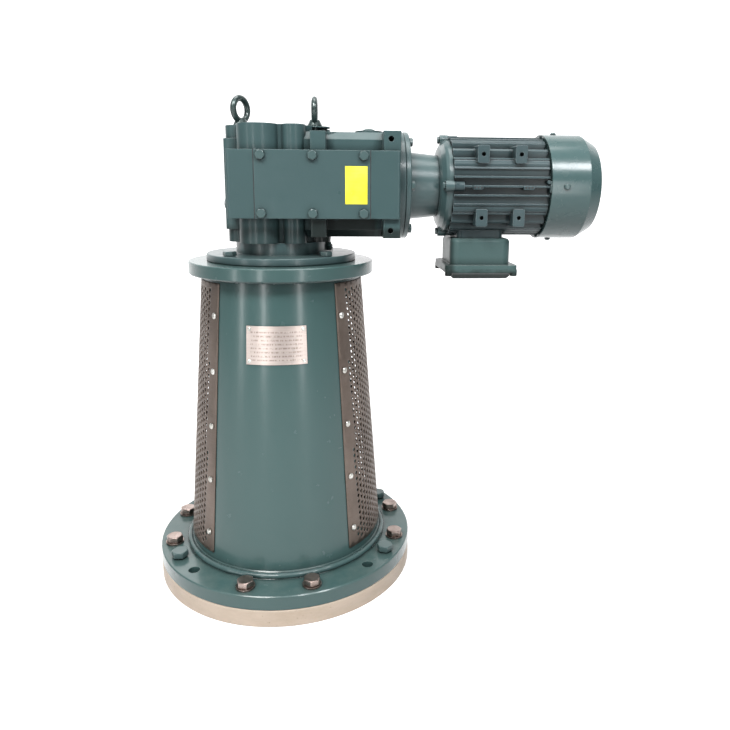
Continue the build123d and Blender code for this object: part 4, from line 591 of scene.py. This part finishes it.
def perforated(node, side):
    """Curved sheet with staggered round holes and plain margins, in a guard's place.

    The pattern is punched in the flat: u runs round the sheet, v up it, and the columns of
    holes stay parallel to the sheet's middle line while its edges spread downward.
    """
    thickness = 1.5 * MM
    pitch = 10.3 * MM              # between the holes of one column
    column = pitch * math.sqrt(3) / 2
    hole = 3.0 * MM
    side_margin = 20 * MM
    end_margin = 5 * MM
    points = [v.co for v in NODES[node].data.vertices]
    z0 = min(p.z for p in points)
    z1 = max(p.z for p in points)
    r0 = max(p.xy.length for p in points if p.z - z0 < 1e-5)
    r1 = max(p.xy.length for p in points if z1 - p.z < 1e-5)
    half = max(abs(math.atan2(p.y, p.x * side)) for p in points)

    def radius(v):
        return r0 + (r1 - r0) * (v - z0) / (z1 - z0)

    limits = (lambda p: half * radius(p[1]) - p[0], lambda p: half * radius(p[1]) + p[0],
              lambda p: p[1] - z0, lambda p: z1 - p[1])
    verts, faces, index = [], [], {}

    def point(u, v):
        key = (round(u * 1e6), round(v * 1e6))
        if key not in index:
            index[key] = len(verts)
            a = u / radius(v)
            verts.append(Vector((side * radius(v) * math.cos(a), radius(v) * math.sin(a), v)))
        return index[key]

    reach = int(half * r0 / column) + 1
    rows = int((z1 - z0) / pitch) + 2
    for c in range(-reach, reach + 1):
        for k in range(-1, rows):
            um = c * column
            vm = z0 + (k + (0.5 if c % 2 else 0.0)) * pitch
            rim = [(um + i * column / 2, vm + j * pitch / 2) for i, j in
                   ((1, 0), (1, 1), (0, 1), (-1, 1), (-1, 0), (-1, -1), (0, -1), (1, -1))]
            room = min(half * radius(vm) - abs(um) - side_margin - hole,
                       vm - z0 - end_margin - hole, z1 - vm - end_margin - hole)
            if room > 0:
                turns = [math.pi / 8 * n for n in range(16)]
                ring = [(um + hole * math.cos(a), vm + hole * math.sin(a)) for a in turns]
                for n in range(8):
                    m = (n + 1) % 8
                    faces.append([point(*q) for q in (rim[n], rim[m], ring[2 * m],
                                                      ring[2 * n + 1], ring[2 * n])])
                continue
            for limit in limits:
                rim = clip(rim, limit)
            corners = list(dict.fromkeys(point(*q) for q in rim))
            if len(corners) > 2:
                faces.append(corners)
    if side < 0:
        faces = [list(reversed(f)) for f in faces]
    obj = make_object(node + "_perforated", verts, faces, GUARD, angle=40)
    thick = obj.modifiers.new("sheet", "SOLIDIFY")
    thick.thickness = thickness
    thick.offset = -1
    # painted shade: the sheets' inner faces take the dark inner material
    obj.data.materials.append(GUARD_INNER_SHADE)
    thick.material_offset = 1
    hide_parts(node)
    return obj


perforated("guard_right", 1)
perforated("guard_left", -1)


# ---------------------------------------------------------------- weld beads
def weld(name, radius, height, size, tilt):
    """Rippled weld bead round the lantern."""
    ripples = 260
    seg = ripples * 2
    verts, faces = [], []
    across = 7
    for s in range(seg):
        a = 2 * math.pi * s / seg
        swell = 1 + 0.10 * math.sin(a * ripples) + 0.06 * math.sin(a * 31) * math.sin(a * 7)
        for k in range(across):
            b = math.radians(tilt - 100 + 200 * k / (across - 1))
            r = radius + size * swell * math.cos(b)
            z = height + size * swell * math.sin(b)
            verts.append(Vector((r * math.cos(a), r * math.sin(a), z)))
    for s in range(seg):
        n = (s + 1) % seg
        for k in range(across - 1):
            faces.append((s * across + k, n * across + k, n * across + k + 1, s * across + k + 1))
    return make_object(name, verts, faces, GREEN_SHEET, angle=60)


lantern_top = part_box("lantern")[1].z
base_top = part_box("base_washers")[0].z
weld("weld_foot", 172.5 * MM, base_top + 3.5 * MM, 5.2 * MM, 45)
weld("weld_top", 133.5 * MM, lantern_top - 22.5 * MM, 3.2 * MM, -45)


# ---------------------------------------------------------------- drive details
def outline(u0, u1, v0, v1, corner, inset, steps=5):
    """Points of a rounded rectangle drawn in by an inset."""
    r = max(corner - inset, 0.0003)
    u0, u1, v0, v1 = u0 + inset, u1 - inset, v0 + inset, v1 - inset
    points = []
    for k, (u, v) in enumerate(((u1 - r, v1 - r), (u0 + r, v1 - r), (u0 + r, v0 + r),
                                (u1 - r, v0 + r))):
        for n in range(steps + 1):
            a = math.pi / 2 * (k + n / steps)
            points.append((u + r * math.cos(a), v + r * math.sin(a)))
    return points


def slab(u, v, corner, rings, place):
    """Stack of rounded rectangles, (inset, height) each, closed at both ends."""
    verts, faces = [], []
    for inset, height in rings:
        ring = outline(*u, *v, corner, inset)
        verts.extend(place(a, b, height) for a, b in ring)
    count = len(verts) // len(rings)
    for k in range(len(rings) - 1):
        for n in range(count):
            m = (n + 1) % count
            faces.append((k * count + n, k * count + m, (k + 1) * count + m, (k + 1) * count + n))
    faces.append(tuple(reversed(range(count))))
    faces.append(tuple(range((len(rings) - 1) * count, len(rings) * count)))
    return verts, faces


def level(a, b, height):
    return Vector((a, b, height))


def upright(a, b, height):
    return Vector((a, height, b))


def in_metres(pairs):
    return [(a * MM, b * MM) for a, b in pairs]


def capped(profile, segments, at):
    """Upright turned profile closed by a flat face at each end."""
    verts, faces = lathe(profile, segments, at)
    faces.append(tuple(reversed(range(segments))))
    faces.append(tuple(range((len(profile) - 1) * segments, len(profile) * segments)))
    return verts, faces


def terminal_lid():
    """Lid with a chamfered rim, a pan below it and four screw ears, in the plain lid's box."""
    lid_height = 17 * MM
    ear_inset = 6 * MM
    lo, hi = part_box("terminal_box_lid")
    rim_top = lo.z + lid_height
    rim = in_metres([(1.0, 0), (0, -0.8), (0, -5.0), (4.0, -8.0), (7.5, -8.2), (8.5, -8.8)])
    pan = in_metres([(14, 2.0), (16, 0.3), (18, 0)])
    rings = [(inset, rim_top + z) for inset, z in rim]
    rings += [(inset, lo.z + z) for inset, z in pan]
    pieces = [slab((lo.x, hi.x), (lo.y, hi.y), 10 * MM, list(reversed(rings)), level)]
    ear = in_metres([(5.2, -11.0), (6.0, -10.4), (6.0, -0.6), (5.5, 0)])
    for x in (lo.x + ear_inset, hi.x - ear_inset):
        for y in (lo.y + ear_inset, hi.y - ear_inset):
            pieces.append(capped(ear, 24, (x, y, rim_top)))
    lid = make_object("terminal_lid_detail", *gather(pieces), GREEN_BOX, angle=35)
    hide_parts("terminal_box_lid")


def fan_cover_lip():
    """Ring that closes the mouth of the fan cover round the motor's fins."""
    ring = in_metres([(86.2, 0.4), (66.5, 0.4), (66.5, 1.6), (86.2, 1.6)])
    mouth = (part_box("fan_cover")[0].x, 0, MOTOR_AXIS)
    verts, faces = lathe(ring, 96, mouth, (1, 0, 0))
    make_object("fan_cover_lip", verts, faces, GREEN_SHEET, angle=30)


def fin_bosses():
    """Two three-hole bosses and two screws on the middle fin of the motor's front; the holes are flat
    black discs, a painted shade.
    """
    face = -84.4 * MM
    root = -79 * MM
    bevel = 0.8 * MM
    hole_pitch = 5.2 * MM
    low, high = 664.6 * MM, 671.4 * MM
    rings = [(0, root), (0, face + bevel), (bevel, face)]
    hole = in_metres([(1.7, -0.4), (1.7, 0.04), (0.0001, 0.04)])
    screw = in_metres([(2.0, -5), (3.4, -4.6), (3.4, -1.0), (2.6, 0), (0.001, 0)])
    solid, dark = [], []
    for x0, x1 in in_metres([(310.5, 327.3), (392.0, 410.4)]):
        solid.append(slab((x0, x1), (low, high), 3 * MM, rings, upright))
        for k in (-1, 0, 1):
            # painted shade: each hole is a flat black disc on the boss face
            middle = ((x0 + x1) / 2 + hole_pitch * k, face, (low + high) / 2)
            dark.append(lathe(hole, 16, middle, (0, -1, 0)))
    for x, z in in_metres([(434.0, 677.0), (285.5, 672.5)]):
        solid.append(lathe(screw, 24, (x, -83.5 * MM, z), (0, -1, 0)))
    make_object("motor_bosses", *gather(solid), GREEN_BODY, angle=35)
    make_object("motor_boss_hole_shade", *gather(dark), RUBBER, angle=35)


def cover_seams():
    """Dark joint lines where the gearbox cover meets the block on its left and right."""
    proud = 0.05 * MM
    half_width = 0.6 * MM
    offset = 0.1 * MM
    lo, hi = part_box("gearbox_cover")
    rings = [(0, lo.y + 2 * MM), (0, lo.y - proud)]
    seams = []
    for x in (lo.x - offset, hi.x + offset):
        span = (x - half_width, x + half_width)
        seams.append(slab(span, (lo.z, hi.z), 0.2 * MM, rings, upright))
    make_object("cover_seams", *gather(seams), RUBBER, angle=35)


terminal_lid()
fan_cover_lip()
fin_bosses()
cover_seams()


# ---------------------------------------------------------------- stage
def area(name, at, look, size, power, colour=(1, 1, 1)):
    lamp = bpy.data.lights.new(name, "AREA")
    lamp.shape = "RECTANGLE"
    lamp.size, lamp.size_y = size
    lamp.energy = power
    lamp.color = colour
    obj = bpy.data.objects.new(name, lamp)
    obj.location = at
    obj.rotation_mode = "QUATERNION"
    obj.rotation_quaternion = (Vector(look) - Vector(at)).to_track_quat("-Z", "Y")
    bpy.context.scene.collection.objects.link(obj)


def seen_directly(s):
    """1 for camera, glossy and transmission rays, 0 for the light that the scene scatters."""
    path = s.new("ShaderNodeLightPath")
    return s.math("MAXIMUM", s.math("MAXIMUM", path.outputs["Is Camera Ray"],
                                    path.outputs["Is Glossy Ray"]),
                  path.outputs["Is Transmission Ray"])


def stage():
    verts, faces = [], []
    bend = 10
    rows = [(-6.0, 0.0), (3.0, 0.0)]
    for k in range(1, bend + 1):
        a = math.pi / 2 * k / bend
        rows.append((3.0 + math.sin(a) * 1.5, (1 - math.cos(a)) * 1.5))
    rows.append((4.5, 8.0))
    for y, z in rows:
        verts.append(Vector((-9, y, z)))
        verts.append(Vector((9, y, z)))
    for k in range(len(rows) - 1):
        faces.append((2 * k, 2 * k + 1, 2 * k + 3, 2 * k + 2))
    mesh = bpy.data.meshes.new("floor")
    mesh.from_pydata(verts, [], faces)
    mesh.shade_smooth()
    obj = bpy.data.objects.new("floor", mesh)
    bpy.context.scene.collection.objects.link(obj)
    s = Surface("floor_pale")
    direct = seen_directly(s)
    mottle = s.mix(s.ramp(s.noise(1.2, 3), 0.3, 0.7), (0.84, 0.84, 0.84, 1), (0.87, 0.87, 0.87, 1))
    colour = s.mix(direct, (0.22, 0.22, 0.22, 1), mottle)
    split = s.new("ShaderNodeSeparateXYZ")
    s.link(s.coord, split.inputs[0])
    far = s.math("ADD", s.ramp(split.outputs["Y"], 0.3, 2.2, 0.0, 0.65),
                 s.ramp(split.outputs["Y"], -1.2, 0.0, 0.0, 0.40))
    s.bsdf.inputs["Emission Color"].default_value = (1, 1, 1, 1)
    s.link(s.math("MULTIPLY", direct, far), s.bsdf.inputs["Emission Strength"])
    mesh.materials.append(s.finish(colour, s.ramp(s.noise(3), 0.3, 0.7, 0.55, 0.65)))


def sky():
    """Pale room: brighter overhead, dim low down where it only scatters light."""
    world = bpy.data.worlds.new("studio")
    bpy.context.scene.world = world
    world.use_nodes = True
    tree = world.node_tree
    back = tree.nodes["Background"]
    split = tree.nodes.new("ShaderNodeSeparateXYZ")
    tree.links.new(tree.nodes.new("ShaderNodeTexCoord").outputs["Generated"], split.inputs[0])
    rise = tree.nodes.new("ShaderNodeMapRange")
    rise.inputs["From Min"].default_value = -0.1
    rise.inputs["From Max"].default_value = 0.8
    rise.inputs["To Min"].default_value = 0.11
    rise.inputs["To Max"].default_value = 0.52
    tree.links.new(split.outputs["Z"], rise.inputs["Value"])
    back.inputs["Color"].default_value = (0.95, 0.97, 1.0, 1)
    tree.links.new(rise.outputs["Result"], back.inputs["Strength"])


stage()
sky()
focus = (0.15, 0, 0.45)
area("key", (-0.85, -1.65, 2.6), focus, (1.0, 0.8), 76, (1.0, 0.98, 0.96))
area("window_left", (0.57, -1.76, 2.35), (0.24, 0, 0.7), (0.30, 0.40), 16, (0.97, 0.98, 1.0))
area("window", (1.30, -1.60, 2.30), (0.45, 0, 0.7), (0.40, 0.55), 30, (0.97, 0.98, 1.0))
area("top", (0.2, 0.1, 2.8), focus, (1.8, 1.0), 34)
area("rim", (-0.9, 1.9, 1.8), focus, (1.0, 1.0), 5)
area("strip_left", (-0.95, -2.45, 0.60), (0, 0, 0.30), (0.22, 1.1), 10)
area("strip_right", (1.18, -2.30, 0.60), (0, 0, 0.30), (0.22, 1.1), 9)
area("strip_side", (-2.05, -1.60, 0.60), (0, 0, 0.30), (0.25, 1.1), 8)

bpy.context.scene.view_settings.view_transform = "Standard"
bpy.context.scene.view_settings.look = "None"

# ---------------------------------------------------------------- camera
yaw, pitch, roll = (math.radians(a) for a in (-4.22, 10.98, 0.48))
forward = Vector((-math.sin(yaw) * math.cos(pitch), math.cos(yaw) * math.cos(pitch),
                  -math.sin(pitch)))
right = Vector((math.cos(yaw), math.sin(yaw), 0))
up = right.cross(forward)
right_r = right * math.cos(roll) + up * math.sin(roll)
up_r = -right * math.sin(roll) + up * math.cos(roll)
camera_data = bpy.data.cameras.new("camera")
camera_data.sensor_width = 36
camera_data.lens = 32.06466
camera_data.shift_x = -0.0280411
camera_data.shift_y = -0.0663699
camera_data.clip_start = 0.05
camera = bpy.data.objects.new("camera", camera_data)
bpy.context.scene.collection.objects.link(camera)
camera.matrix_world = Matrix((
    (right_r.x, up_r.x, -forward.x, 0.09555),
    (right_r.y, up_r.y, -forward.y, -1.12389),
    (right_r.z, up_r.z, -forward.z, 0.66228),
    (0, 0, 0, 1)))
bpy.context.scene.camera = camera
